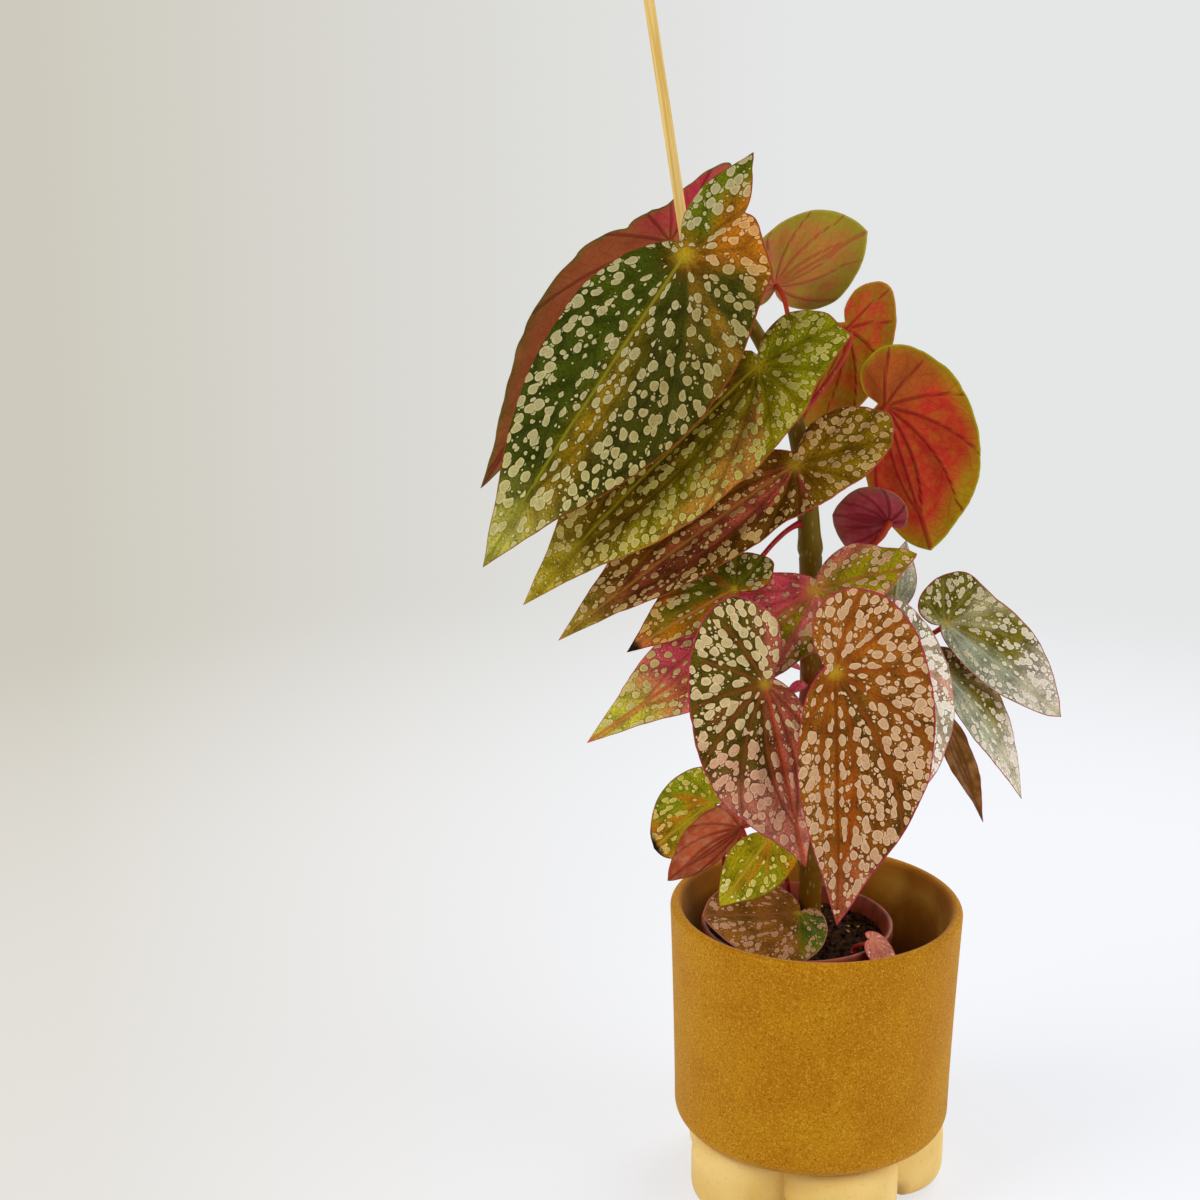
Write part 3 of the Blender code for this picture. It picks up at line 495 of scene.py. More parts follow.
# Each leaf: joint = end of the petiole, heading = way the tip points (0 = +X, 90 = +Y), droop = below level,
# tilt = turn about the midrib, hand = side of the ear, broad/narrow/ear = how full each part of the outline
# is, arch = how far the tip curves down, root = where the petiole starts: height on the cane and heading, or
# for a leaf that comes out of the soil its x and y there. lobe = how far the ear spreads from the midrib,
# wave = how ruffled the rim is, round = from 0, a pointed outline, to 1, a round one, stalk = how much
# thicker the petiole is than others, horns = points drawn out of the rim or, below 0, notches in it, each as
# (place along the broad side, how far, how wide), in shares of that side and of the length. What a leaf
# doesn't give is as in PLAIN_LEAF.
PLAIN_LEAF = dict(hand=1, broad=1.0, narrow=1.0, ear=1.0, lobe=1.0, round=0, arch=0.1, stalk=1.0, wave=0.5,
                  under="rust", horns=())
LEAF_TABLE = {
    "top_front": dict(joint=(-64, -35, 457), length=158, heading=215, droop=50, tilt=-45, broad=0.74,
        narrow=1.05, ear=0.85, lobe=0.62, root=(424, 240), upper="dark_green", under="brown_rose",
        horns=[(0.15, 0.11, 0.03), (0.26, -0.08, 0.06), (0.4, 0.06, 0.06)]),
    "top_back": dict(joint=(-75, 25, 455), length=141, heading=205, droop=45, tilt=70, broad=0.68, ear=0.95,
        lobe=0.55, root=(418, 110), upper="dark_green", under="brown_rose", wave=1.7,
        horns=[(0.5, -0.1, 0.08)]),
    "upper_front": dict(joint=(-32, -30, 409), length=145, heading=205, droop=40, tilt=-45, broad=0.6,
        ear=0.75, lobe=0.8, root=(382, 270), upper="olive", under="brown_rose", wave=0.8,
        horns=[(0.28, 0.06, 0.04)]),
    "middle_front": dict(joint=(-15, -20, 363), length=130, heading=205, droop=30, tilt=-45, broad=0.4,
        ear=1.15, lobe=1.3, root=(340, 280), upper="bronze", under="brown_rose", wave=1.0,
        horns=[(0.3, 0.03, 0.06)]),
    "small_left": dict(joint=(-40, -45, 312), length=55, heading=210, droop=20, tilt=-40, hand=-1,
        broad=0.8, ear=1.3, root=(332, 215), upper="small_olive", wave=0.6),
    "low_left": dict(joint=(-5, -25, 307), length=122, heading=205, droop=27, tilt=-45, broad=0.5,
        narrow=1.1, ear=0.95, root=(285, 270), upper="variegated", wave=1.2,
        horns=[(0.23, 0.1, 0.06), (0.42, -0.06, 0.04)]),
    "front_left": dict(joint=(-25, -64, 275), length=88, heading=340, droop=75, tilt=60, hand=-1, ear=1.45,
        root=(238, 250), upper="dark_rose", horns=[(0.08, 0.05, 0.05)]),
    "front_right": dict(joint=(5, -69, 283), length=112, heading=285, droop=75, tilt=0, broad=0.98,
        narrow=0.85, arch=0.11, root=(250, 290), upper="copper", wave=0.25),
    "behind_front": dict(joint=(33, -10, 270), length=62, heading=335, droop=65, tilt=20, narrow=0.8,
        ear=1.3, round=0.7, arch=0.2, root=(262, 5), upper="silver_rose", wave=0.8),
    "right": dict(joint=(57, 30, 276), length=70, heading=350, droop=33, tilt=45, broad=0.85, narrow=0.9,
        ear=0.75, lobe=1.25, round=0.4, root=(255, 30), upper="green_with_painted_sheen", wave=0.4),
    "right_hanging": dict(joint=(57, 20, 254), length=70, heading=350, droop=40, tilt=30, broad=0.6,
        ear=0.6, arch=0.4, root=(242, 15), upper="green_with_painted_sheen", under="dull_brown", wave=0.7),
    "right_lower": dict(joint=(56, 20, 235), length=55, heading=340, droop=60, tilt=-60, broad=0.6, ear=0.8,
        root=(225, 20), upper="silver_rose", under="dull_brown", wave=0.8),
    "small_right": dict(joint=(33, 30, 283), length=38, heading=80, droop=-50, tilt=0, broad=0.9,
        narrow=1.2, ear=0.8, root=(270, 50), upper="green_with_painted_sheen", under="dull_brown"),
    "top_right": dict(joint=(-27, 35, 434), length=50, heading=30, droop=-30, tilt=-70, hand=-1, broad=1.25,
        narrow=2.4, round=0.8, root=(400, 60), upper="olive", under="olive_orange"),
    "upper_right": dict(joint=(6, 40, 414), length=50, heading=200, droop=60, tilt=70, hand=-1, broad=1.3,
        narrow=2.0, ear=1.5, round=0.9, root=(380, 60), upper="olive", under="ruffled_red", wave=1.6),
    "back_right": dict(joint=(25, 30, 380), length=71, heading=10, droop=70, tilt=-75, hand=-1, broad=1.1,
        narrow=1.2, ear=1.1, round=0.7, root=(345, 40), upper="olive", under="lit_red", wave=0.9),
    "back_small": dict(joint=(28, 10, 330), length=26, heading=170, droop=-8, tilt=70, broad=1.5,
        narrow=3.0, ear=0.9, round=0.9, root=(302, 30), stalk=1.7, upper="olive", under="plum", wave=0.6),
    "base_left": dict(joint=(-22, -33, 190), length=40, heading=205, droop=50, tilt=-45, narrow=1.4,
        ear=0.6, round=0.3, root=(-12, 9), upper="lime", wave=0.9),
    "base_folded": dict(joint=(-36, -18, 188), length=42, heading=195, droop=30, tilt=65, broad=1.2,
        narrow=1.4, ear=0.7, round=0.5, root=(-38, 19), upper="lime", wave=1.2),
    "base_far_left": dict(joint=(-50, -8, 196), length=36, heading=190, droop=35, tilt=-40, hand=-1,
        broad=1.3, narrow=1.8, round=0.9, root=(-45, 14), upper="lime_far", wave=0.6),
    "on_soil": dict(joint=(-8, -12, 143), length=46, heading=190, droop=-2, tilt=-28, broad=1.3, narrow=2.0,
        ear=0.8, round=0.6, arch=0.0, root=(-4, -16), upper="dusty", wave=0.4),
    "seedling": dict(joint=(26, -27, 138), length=20, heading=300, droop=25, tilt=-10, narrow=1.6, ear=0.8,
        round=0.6, arch=0.0, root=(18, -16), upper="seedling", wave=0.3),
}
LEAVES = {name: dict(PLAIN_LEAF, **own) for name, own in LEAF_TABLE.items()}

# Stipules, the small papery leaves that sheathed a bud and still sit on the cane without a petiole: height on
# the cane, and the rest as for a leaf.
STIPULES = {
    "stipule_upper": dict(height=264, length=15, heading=205, droop=-25, tilt=-20),
    "stipule_lower": dict(height=257, length=12, heading=235, droop=10, tilt=-35),
}
STIPULE_BASE = 1.0          # from the cane's skin to a stipule's joint, which lies a little inside its base
STIPULE_SHAPE = dict(PLAIN_LEAF, broad=0.6, ear=0.1, round=0.3, upper="stipule", under="stipule", wave=1.0)


def leaf_noise(flat, layer, size, layers, seed):
    """Noise over flat points, taken from a layer of its own."""
    return layered_noise(np.column_stack([flat, np.full(len(flat), layer)]), size, layers, seed)


def side_curve(pointed, full, leaf, count):
    """One side of the outline: the pointed and the round leaf's, blended."""
    share = leaf["round"]
    return (1 - share) * smooth_curve(pointed, count) + share * smooth_curve(full, count)


def leaf_outline(leaf, count, seed):
    """Closed outline in millimetres: the two sides scaled to this leaf, points drawn out of it as
    far * exp(-distance / width), and lobes, scallops and teeth from three sizes of noise."""
    broad_count = int(count * BROAD_SHARE)
    broad = side_curve(BROAD_SIDE, ROUND_BROAD_SIDE, leaf, broad_count)
    narrow = side_curve(NARROW_SIDE, ROUND_NARROW_SIDE, leaf, count - broad_count + 1)[1:]
    lobe = 1 + (leaf["lobe"] - 1) * smoothstep(0.2, -0.15, broad[:, 0])
    broad[:, 0] = np.where(broad[:, 0] < 0, broad[:, 0] * leaf["ear"], broad[:, 0])
    broad[:, 1] *= np.where(broad[:, 1] > 0, leaf["broad"] * lobe, leaf["ear"])
    narrow[:, 1] *= leaf["narrow"]
    place = np.linspace(0, 1, broad_count)
    outwards = broad / np.linalg.norm(broad, axis=1)[:, None]
    for where, far, width in leaf["horns"]:
        broad = broad + outwards * far * np.exp(-np.abs(place - where) / width)[:, None]
    outline = np.vstack([broad, narrow]) * leaf["length"]
    scallop = sum(depth * leaf_noise(outline, seed * 7.0, size, 1, seed) for size, depth in SCALLOPS)
    reach = np.linalg.norm(outline, axis=1)
    scallop *= min(1.0, leaf["length"] / SCALLOPED_LENGTH) * smoothstep(4, 20, reach) / np.maximum(reach, 4)
    scallop *= smoothstep(1.0, 0.9, outline[:, 0] / leaf["length"]) * (0.5 + 0.7 * leaf["wave"])
    return outline * (1 + scallop)[:, None]


def leaf_axes(leaf):
    """Unit vectors along the midrib, across it towards the ear of a hand of 1, and up from the face."""
    heading, droop, tilt = (math.radians(leaf[key]) for key in ("heading", "droop", "tilt"))
    along = np.array([math.cos(heading) * math.cos(droop), math.sin(heading) * math.cos(droop),
                      -math.sin(droop)])
    level_up = np.array([math.cos(heading) * math.sin(droop), math.sin(heading) * math.sin(droop),
                         math.cos(droop)])
    level_across = np.cross(level_up, along)
    across = level_across * math.cos(tilt) + level_up * math.sin(tilt)
    up = level_up * math.cos(tilt) - level_across * math.sin(tilt)
    return along, across, up


def vein_field(flat, length):
    """Distance from the nearest main vein, distance along it, and whether it is the midrib. A vein leaves the
    joint at its own angle and leans back towards the midrib further out."""
    radius = np.hypot(flat[:, 0], flat[:, 1])
    angle = np.degrees(np.arctan2(flat[:, 1], flat[:, 0]))
    reach = np.clip(radius / (0.6 * length), 0, 1.3) ** 1.3
    turns = np.array(VEIN_TURNS, float)[:, None]
    bent = turns - np.sign(turns) * VEIN_BEND * reach
    away = np.radians(np.minimum(np.abs((angle - bent + 180) % 360 - 180), 90))
    gaps = radius * np.sin(away)
    nearest = gaps.argmin(0)
    pick = np.arange(len(flat))
    return gaps[nearest, pick], (radius * np.cos(away))[nearest, pick], nearest == 0


def blade_points(leaf, flat, share, turn, gap, along_vein, seed):
    """Bent leaf. Height = fold * across, rounded at the midrib, - cup * across^2 - arch * along^2, then
    panels swollen between the sunken main veins, pleats along the side veins, a slow warp, and a rim that
    waves with the fourth power of the way out."""
    along, across, up = leaf_axes(leaf)
    length = leaf["length"]
    x, y = flat[:, 0] / length, flat[:, 1] / length
    fold = FOLD * (np.hypot(y, FOLD_ROUNDING) - FOLD_ROUNDING)
    height = fold - CUP * y * y - leaf["arch"] * np.maximum(x, 0) ** 2
    panel = 1 - np.exp(-(gap / PANEL_EDGE) ** 2)
    pleat = np.abs(np.cos(math.pi * (along_vein - SIDE_VEIN_SLANT * gap) / (2 * SIDE_VEIN_STEP)))
    size = (length / 120) ** 0.5
    swollen = (1 - 0.8 * share ** 4) * panel * (PANEL_RISE + PLEAT_RISE * pleat) - VEIN_SINK
    height = height * length + size * np.minimum(1, share * 2) * swollen
    height += WARP_DEPTH * size * leaf_noise(flat, seed * 90.0, WARP_SIZE, 2, seed)
    rings = sum(np.sin(turn * k + seed * (k + 1)) / k ** 0.5 for k in RIM_WAVES)
    height += leaf["wave"] * RIM_WAVE * length * rings * share ** 4 * smoothstep(1.0, 0.8, x)
    height -= height[0]
    local = np.column_stack([flat[:, 0], leaf["hand"] * flat[:, 1], height])
    return np.array(leaf["joint"], float) + local @ np.array([along, across, up]), up


def near_joint(x, y):
    """1 at the leaf's joint, 0 from 0.05 of the length away: the yellow star where the veins meet."""
    return smoothstep(0.05, 0.0, np.hypot(x, y))


def upper_colours(look, leaf, flat, share, midrib, seed):
    """Colours of the upper side: narrow side, broad side, streaks running out from the joint, the heart along
    the midrib, the ear and the tip, all run into each other by noise."""
    total = len(flat)
    x, y = (flat / leaf["length"]).T
    angle = np.arctan2(flat[:, 1], flat[:, 0] + 1e-6)
    patch = leaf_noise(flat, seed * 31.0, 26.0, 3, seed)
    streak = leaf_noise(np.column_stack([angle * 22, share * 8]), seed * 31.0, 9.0, 2, seed + 9)
    c = look["colours"]
    ground = mix(c["narrow"], c["broad"], smoothstep(-0.02, 0.06, y + 0.04 * patch))
    streaked = smoothstep(0.1, 0.45, streak + look["streaks"]) * smoothstep(-0.05, 0.03, y)
    ground = mix(ground, c["streak"], streaked)
    heart = np.exp(-((y - 0.03 - 0.03 * x) / (0.02 + 0.03 * np.maximum(x, 0))) ** 2)
    ground = mix(ground, c["heart"], 0.85 * heart * smoothstep(0.15, 0.5, x))
    on_ear = smoothstep(0.08, -0.08, x + 0.1 * patch)
    ground = mix(ground, c["ear"], on_ear * smoothstep(-0.1, 0.02, y))
    if "ear_tip" in c:
        on_tip = smoothstep(0.06, -0.02, y + 0.1 * patch) * smoothstep(0.0, -0.1, x)
        ground = mix(ground, c["ear_tip"], on_tip)
    tip_from = look["tip_from"]
    ground = mix(ground, c["tip"], smoothstep(tip_from, tip_from + 0.27, x + 0.08 * patch))
    ground *= (1 + 0.45 * patch)[:, None]
    blister = mix(c["blister"], c.get("blister_broad", c["blister"]),
                  smoothstep(0.02, 0.2, y + 0.1 * patch))
    blister = mix(blister, c.get("blister_ear", c["blister"]), on_ear * smoothstep(0.0, 0.1, y + 0.1 * patch))
    blister = mix(blister, c["far"], smoothstep(tip_from - 0.3, tip_from + 0.15, x + 0.3 * patch))
    vein = np.where(midrib[:, None], c["midrib"], c["vein"])
    ground, vein = (mix(colour, srgb(JOINT_YELLOW), 0.6 * near_joint(x, y)) for colour in (ground, vein))
    bold = np.where(midrib, np.maximum(look["bold"], 0.8), look["bold"])
    # painted highlight: each blister's rim is its colour lifted by about 15%
    edge = np.minimum(blister * 1.15 + 0.02, 0.9)
    colours = dict(ground_colour=np.clip(ground, 0.002, 1), vein_colour=vein, blister_colour=blister,
                   blister_highlight_colour=edge, rim_colour=np.tile(c["rim"], (total, 1)))
    if leaf["upper"] in DRY_TIPS:
        dried = smoothstep(0.88, 0.93, x + 0.05 * patch)
        colours = {key: mix(value, srgb(DRY_TISSUE), dried) for key, value in colours.items()}
    return dict(colours, vein_bold=bold)


def under_colours(look, leaf, flat, share, seed):
    """Colours of the underside: tissue, the ear, and a wide band inside the rim."""
    total = len(flat)
    x = flat[:, 0] / leaf["length"]
    patch = leaf_noise(flat, seed * 17.0, 24.0, 3, seed + 5)
    c = look["colours"]
    ground = mix(c["ground"], c["ear"], smoothstep(0.15, -0.12, x + 0.1 * patch))
    band_from = look["band_from"]
    ground = mix(ground, c["band"], 0.8 * smoothstep(band_from, band_from + 0.26, share + 0.12 * patch))
    ground *= (1 + 0.3 * patch)[:, None]
    ground = mix(ground, srgb(JOINT_YELLOW), 0.5 * near_joint(x, flat[:, 1] / leaf["length"]))
    flat_colours = dict(vein_colour=c["vein"], blister_colour=c["ghost"], blister_highlight_colour=c["ghost"],
                        rim_colour=c["rim"])
    tiled = {key: np.tile(value, (total, 1)) for key, value in flat_colours.items()}
    return dict(tiled, ground_colour=np.clip(ground, 0.002, 1), vein_bold=np.full(total, 0.8))


def build_leaf(name, leaf, number, finishes, node):
    """Blade: rings of points from the joint out to the outline; an upper and a lower skin meet at the rim."""
    length = leaf["length"]
    count = int(np.clip(length * POINTS_PER_MM, 90, 240))
    rings = int(np.clip(length * RINGS_PER_MM, 14, 72))
    seed = number + 1
    outline = leaf_outline(leaf, count, seed)
    out = np.linspace(0, 1, rings + 1)[1:] ** 0.8
    flat = np.vstack([(outline[None] * out[:, None, None]).reshape(-1, 2), [[0, 0]]])
    share = np.append(np.repeat(out, count), 0)
    steps = np.linalg.norm(np.roll(outline, -1, 0) - outline, axis=1)
    turn = np.append(np.tile(2 * math.pi * np.cumsum(steps) / steps.sum(), rings), 0)
    edge_gap = np.append(np.tile(np.linalg.norm(outline, axis=1), rings), 0.5 * length) * (1 - share)
    gap, along_vein, midrib = vein_field(flat, length)
    middle, up = blade_points(leaf, flat, share, turn, gap, along_vein, seed)
    half = up * BLADE_THICKNESS / 2 * (1 - 0.6 * share[:, None] ** 3)
    points = np.vstack([middle + half, middle - half])

    look = UPPER[leaf["upper"]]
    above = upper_colours(look, leaf, flat, share, midrib, seed)
    below = under_colours(UNDER[leaf["under"]], leaf, flat, share, seed)
    values = {key: np.concatenate([above[key], below[key]]) for key in above}
    start = np.array([seed * 23.0, seed * 11.0, 0.0])
    place = np.column_stack([flat / look["spacing"], np.zeros(len(flat))]) + start
    both = dict(flat_place=np.column_stack([flat + 60.0 * seed, 0 * share]), blister_place=place,
                blister_start=np.tile(start, (len(flat), 1)), vein_gap=gap, vein_along=along_vein,
                edge_gap=edge_gap, cover=look["cover"] + 0.1 * smoothstep(0.4, 1.0, share))
    values.update({key: np.concatenate([value, value]) for key, value in both.items()})

    total, joint, rim = len(flat), rings * count, (rings - 1) * count
    top = grid_faces(rings, count) + fan_faces(joint, 0, count)
    low = [tuple(v + total for v in face)[::-1] for face in top]
    band = [(rim + k, rim + (k + 1) % count, total + rim + (k + 1) % count, total + rim + k)
            for k in range(count)]
    sides = [0] * len(top) + [1] * len(low) + [0] * len(band)
    make_piece(name, points, top + low + band, finishes, [node], values, sides)


# ---------------------------------------------------------------- stems

CANE_LINE = [(-3, 0, 100), (-3, 0, 150), (-4, 0, 210), (-6, 0, 275), (-8, 0, 325), (-14, 0, 370),
             (-27, 0, 405), (-42, 2, 430)]
CANE_NODES = (165, 205, 245, 285, 320, 352, 382)
NODE_SWELL, NODE_SCAR = 0.7, 0.6      # mm
CANE_RADIUS = 5.3
CANE_TIP_RADIUS = 3.0
STAKE_LINE = [(-18, 14, 85), (-23, 13, 150), (-46, 12, 320), (-70, 11, 475), (-97, 10, 640)]
STAKE_RADIUS = 2.4
SOIL_TOP = 126.0
PETIOLE_RADIUS = 1.4
PETIOLE_SINK = 1.0      # mm by which a petiole starts inside the cane's skin
GAP = 0.3               # mm left between pieces that stand in or on each other


def cane_middle(height):
    """Middle of the cane at a height."""
    line = smooth_curve(CANE_LINE, 120)
    return np.array([np.interp(height, line[:, 2], line[:, axis]) for axis in range(3)])


def cane_radius(height):
    """Slow taper near the top, a swelling at each node above the soil and a pinched scar just under it."""
    taper = CANE_RADIUS - (CANE_RADIUS - CANE_TIP_RADIUS) * max(0.0, (height - 300) / 130) ** 1.5
    swell = sum(NODE_SWELL * math.exp(-((height - node) / 4) ** 2) for node in CANE_NODES)
    scar = sum(NODE_SCAR * math.exp(-((height - node + 3.5) / 0.8) ** 2) for node in CANE_NODES)
    return taper + (swell - scar if height > SOIL_TOP + 8 else 0.0)


def cane_seat(height, turn):
    """Place on the cane's skin at a height and a heading, and the way straight out of it."""
    cane_along = cane_middle(height + 2) - cane_middle(height - 2)
    cane_along /= np.linalg.norm(cane_along)
    leave = np.array([math.cos(math.radians(turn)), math.sin(math.radians(turn)), 0.0])
    leave -= cane_along * leave.dot(cane_along)
    leave /= np.linalg.norm(leave)
    return cane_middle(height) + leave * cane_radius(height), leave


def petiole_line(leaf, count):
    """Bezier curve from the cane, or from the soil, to just under the leaf's joint."""
    up = leaf_axes(leaf)[2]
    end = np.array(leaf["joint"], float) - up * CAD_BLADE_THICKNESS / 2
    height, turn = leaf["root"]
    if height < SOIL_TOP:
        start = np.array([height, turn, SOIL_TOP + GAP])
        leave = np.array([0.0, 0.0, 1.0])
    else:
        seat, leave = cane_seat(height, turn)
        start = seat - leave * PETIOLE_SINK
    reach = np.linalg.norm(end - start)
    first = start + leave * reach * 0.3
    second = end - up * reach * 0.25
    t = np.linspace(0, 1, count)[:, None]
    return (1 - t) ** 3 * start + 3 * (1 - t) ** 2 * t * first + 3 * (1 - t) * t * t * second + t ** 3 * end


def living_stem(name, low, high, pores, roughness):
    """Waxy skin of a begonia stem: one colour runs into another along it, with pale lens-shaped pores."""
    made, tree = new_finish(name, {"Roughness": roughness, "Specular IOR Level": 0.1})
    place = add(tree, "TexCoord", out="Object")
    run = add(tree, "Attribute", attribute_name="run", out="Fac")
    wave = add(tree, "TexNoise", place, 90.0, 3.0)
    share = add(tree, "Math", wave, 0.6, run, operation="MULTIPLY_ADD")
    share = add(tree, "MapRange", share, 0.3, 1.3, **EASED)
    colour = add(tree, "Mix", share, rgba(low), rgba(high), data_type="RGBA")
    stretched = add(tree, "Mapping", place, None, None, (1.0, 1.0, 0.35))
    pore = add(tree, "MapRange", add(tree, "TexVoronoi", stretched, 450.0), 0.3, 0.12, 0.0, 0.35)
    colour = add(tree, "Mix", pore, colour, rgba(pores), data_type="RGBA")
    fine = add(tree, "TexNoise", stretched, 1500.0, 2.0)
    return finish_with(made, colour, fine, 0.0001)


def bare_softwood():
    """Split softwood dowel, sanded and unsealed: long straight grain with a faint water stain."""
    made, tree = new_finish("bare_softwood", {"Roughness": 0.7})
    place = add(tree, "Attribute", attribute_name="grain_place", out="Vector")
    grain = add(tree, "TexNoise", add(tree, "Mapping", place, None, None, (0.9, 0.9, 0.02)), 1.0, 3.0)
    # here no light: only wide patches where water has soaked in and darkened the wood
    stain_and_painted_light = add(tree, "TexNoise", place, 0.014, 2.0)
    light = add(tree, "MapRange", grain, 0.35, 0.65, **EASED)
    colour = add(tree, "Mix", light, rgba("#c8a048"), rgba("#dcbc70"), data_type="RGBA")
    wet = add(tree, "MapRange", stain_and_painted_light, 0.5, 0.75, 0.0, 0.4)
    colour = add(tree, "Mix", wet, colour, rgba("#b08830"), data_type="RGBA")
    return finish_with(made, colour, grain, 0.00015)


def build_stems():
    """Cane, stake and one petiole for each leaf."""
    line = smooth_curve(CANE_LINE, 260)
    points, faces = tube_surface(line, [cane_radius(height) for height in line[:, 2]], 32, 0.03, 3)
    height = points[:, 2]
    run = smoothstep(240, 285, height) + 0.6 * smoothstep(200, 160, height)
    cane_skin = living_stem("begonia_cane_skin", "#6c2c06", "#645004", "#a89858", 0.42)
    make_piece("cane_stem", points, faces, [cane_skin], ["cane"], dict(run=run))

    steps, sides = 160, 20
    line = smooth_curve(STAKE_LINE, steps)
    points, faces = tube_surface(line, [STAKE_RADIUS] * steps, sides, 0.01, 4)
    middle = np.vstack([np.repeat(line, sides, 0), line[:1], line[-1:]])
    grain_place = np.column_stack([(points - middle)[:, :2], points[:, 2]])
    make_piece("support_stake", points, faces, [bare_softwood()], ["stake"],
               dict(grain_place=grain_place))

    petiole_skin = living_stem("begonia_petiole_skin", "#8c1820", "#a0341c", "#c87860", 0.4)
    steps, sides = 48, 14
    t = np.linspace(0, 1, steps)
    for name, leaf in LEAVES.items():
        size = PETIOLE_RADIUS * min(1.0, 0.6 + leaf["length"] / 250) * leaf["stalk"]
        radii = size * (1 + 0.9 * np.exp(-t / 0.06) + 0.25 * np.exp(-(1 - t) / 0.08))
        points, faces = tube_surface(petiole_line(leaf, steps), radii, sides, 0.05, 5)
        run = np.append(np.repeat(t, sides), [0, 1])
        make_piece(f"stalk_{name}", points, faces, [petiole_skin], [f"petiole_{name}"],
                   dict(run=run))


# ---------------------------------------------------------------- pots and soil

STAND_HEIGHT = 32.0
POT_BOTTOM = STAND_HEIGHT + GAP
POT_TOP = POT_BOTTOM + 112.0
POT_RIM_RADIUS = 70.0
POT_FOOT_RADIUS = 67.0
POT_WALL = 5.5
POT_FOOT_ROUNDING = 8.0     # radius of the corner under the wall
POT_FLOOR_TOP = POT_BOTTOM + 13.0
POT_FLOOR_ROUNDING = 6.0    # radius of the corner between floor and wall
NURSERY_CENTRE_X = -9.0
NURSERY_BOTTOM = POT_FLOOR_TOP + GAP
NURSERY_TOP = 134.0
NURSERY_RIM_RADIUS = 46.0
NURSERY_FOOT_RADIUS = 34.0
NURSERY_WALL = 1.2
NURSERY_COLLAR = 5.0
CRUMB_COUNT = 420


def corner_arc(centre_r, centre_z, radius, start, end, steps):
    """Points of a round corner, from one angle in degrees to another."""
    turn = np.radians(np.linspace(start, end, steps + 1))
    return np.column_stack([centre_r + radius * np.cos(turn), centre_z + radius * np.sin(turn)]).tolist()


def ochre_stoneware():
    """Thrown stoneware under a dry ochre slip: sandy skin, fine pale and iron-brown grains, brown inside;
    and painted light, a lighter patch on the inside of the wall on the right, near the top.
    """
    made, tree = new_finish("ochre_stoneware", {
        "Roughness": 0.75, "Specular IOR Level": 0.08, "Specular Tint": WARM_SHEEN,
        "Sheen Weight": 0.15, "Sheen Tint": WARM_SHEEN})
    place = add(tree, "TexCoord", out="Object")
    inside, stain_and_painted_light = (add(tree, "Attribute", attribute_name=key, out="Fac") for key in ("inside", "stain_and_painted_light"))
    cloud = add(tree, "TexNoise", place, 28.0, 4.0)
    sand = add(tree, "TexNoise", place, 1100.0, 2.0)
    share = add(tree, "MapRange", cloud, 0.35, 0.65, **EASED)
    colour = add(tree, "Mix", share, rgba("#a86c04"), rgba("#b0780a"), data_type="RGBA")
    iron = add(tree, "TexVoronoi", place, 330.0)
    for grains, none, full, most, shade in ((sand, 0.54, 0.66, 0.6, "#cc9830"),
                                            (sand, 0.46, 0.36, 0.5, "#7c4c04"),
                                            (iron, 0.2, 0.1, 0.6, "#6c3c04")):
        grain = add(tree, "MapRange", grains, none, full, 0.0, most)
        colour = add(tree, "Mix", grain, colour, rgba(shade), data_type="RGBA")
    raw = add(tree, "Mix", share, rgba("#945810"), rgba("#ac6e1e"), data_type="RGBA")
    colour = add(tree, "Mix", inside, colour, raw, data_type="RGBA")
    # painted light: lighter ochre where light falls on the inside of the wall on the right, near the rim
    patch = add(tree, "Math", stain_and_painted_light, add(tree, "MapRange", cloud, 0.4, 0.6), operation="MULTIPLY")
    colour = add(tree, "Mix", patch, colour, rgba("#c08c34"), data_type="RGBA")
    return finish_with(made, colour, sand, 0.00035)


def terracotta_plastic():
    """Thin injection-moulded polypropylene in terracotta red, dusty with soil."""
    made, tree = new_finish("terracotta_polypropylene", {"Roughness": 0.45, "Specular IOR Level": 0.2})
    place = add(tree, "TexCoord", out="Object")
    dust = add(tree, "TexNoise", place, 160.0, 4.0)
    share = add(tree, "MapRange", dust, 0.45, 0.7)
    colour = add(tree, "Mix", share, rgba("#8c3c24"), rgba("#5c2c1c"), data_type="RGBA")
    return finish_with(made, colour, dust, 0.0001)


def potting_soil():
    """Peat and bark crumbs, nearly black when moist, with tan fibres and a few pale grains."""
    made, tree = new_finish("peat_potting_soil", {"Roughness": 0.95, "Specular IOR Level": 0.05})
    place = add(tree, "TexCoord", out="Object")
    crumb = add(tree, "TexNoise", place, 350.0, 5.0)
    share = add(tree, "MapRange", crumb, 0.35, 0.65)
    colour = add(tree, "Mix", share, rgba("#140b05"), rgba("#442a16"), data_type="RGBA")
    grains = add(tree, "TexVoronoi", place, 380.0)
    picked = add(tree, "SeparateColor", grains.node.outputs["Color"])
    picked = add(tree, "MapRange", picked, 0.94, 0.96)
    near = add(tree, "MapRange", grains, 0.45, 0.3)
    colour = add(tree, "Mix", add(tree, "Math", picked, near, operation="MULTIPLY"), colour, rgba("#b08c50"),
                 data_type="RGBA")
    return finish_with(made, colour, crumb, 0.001)


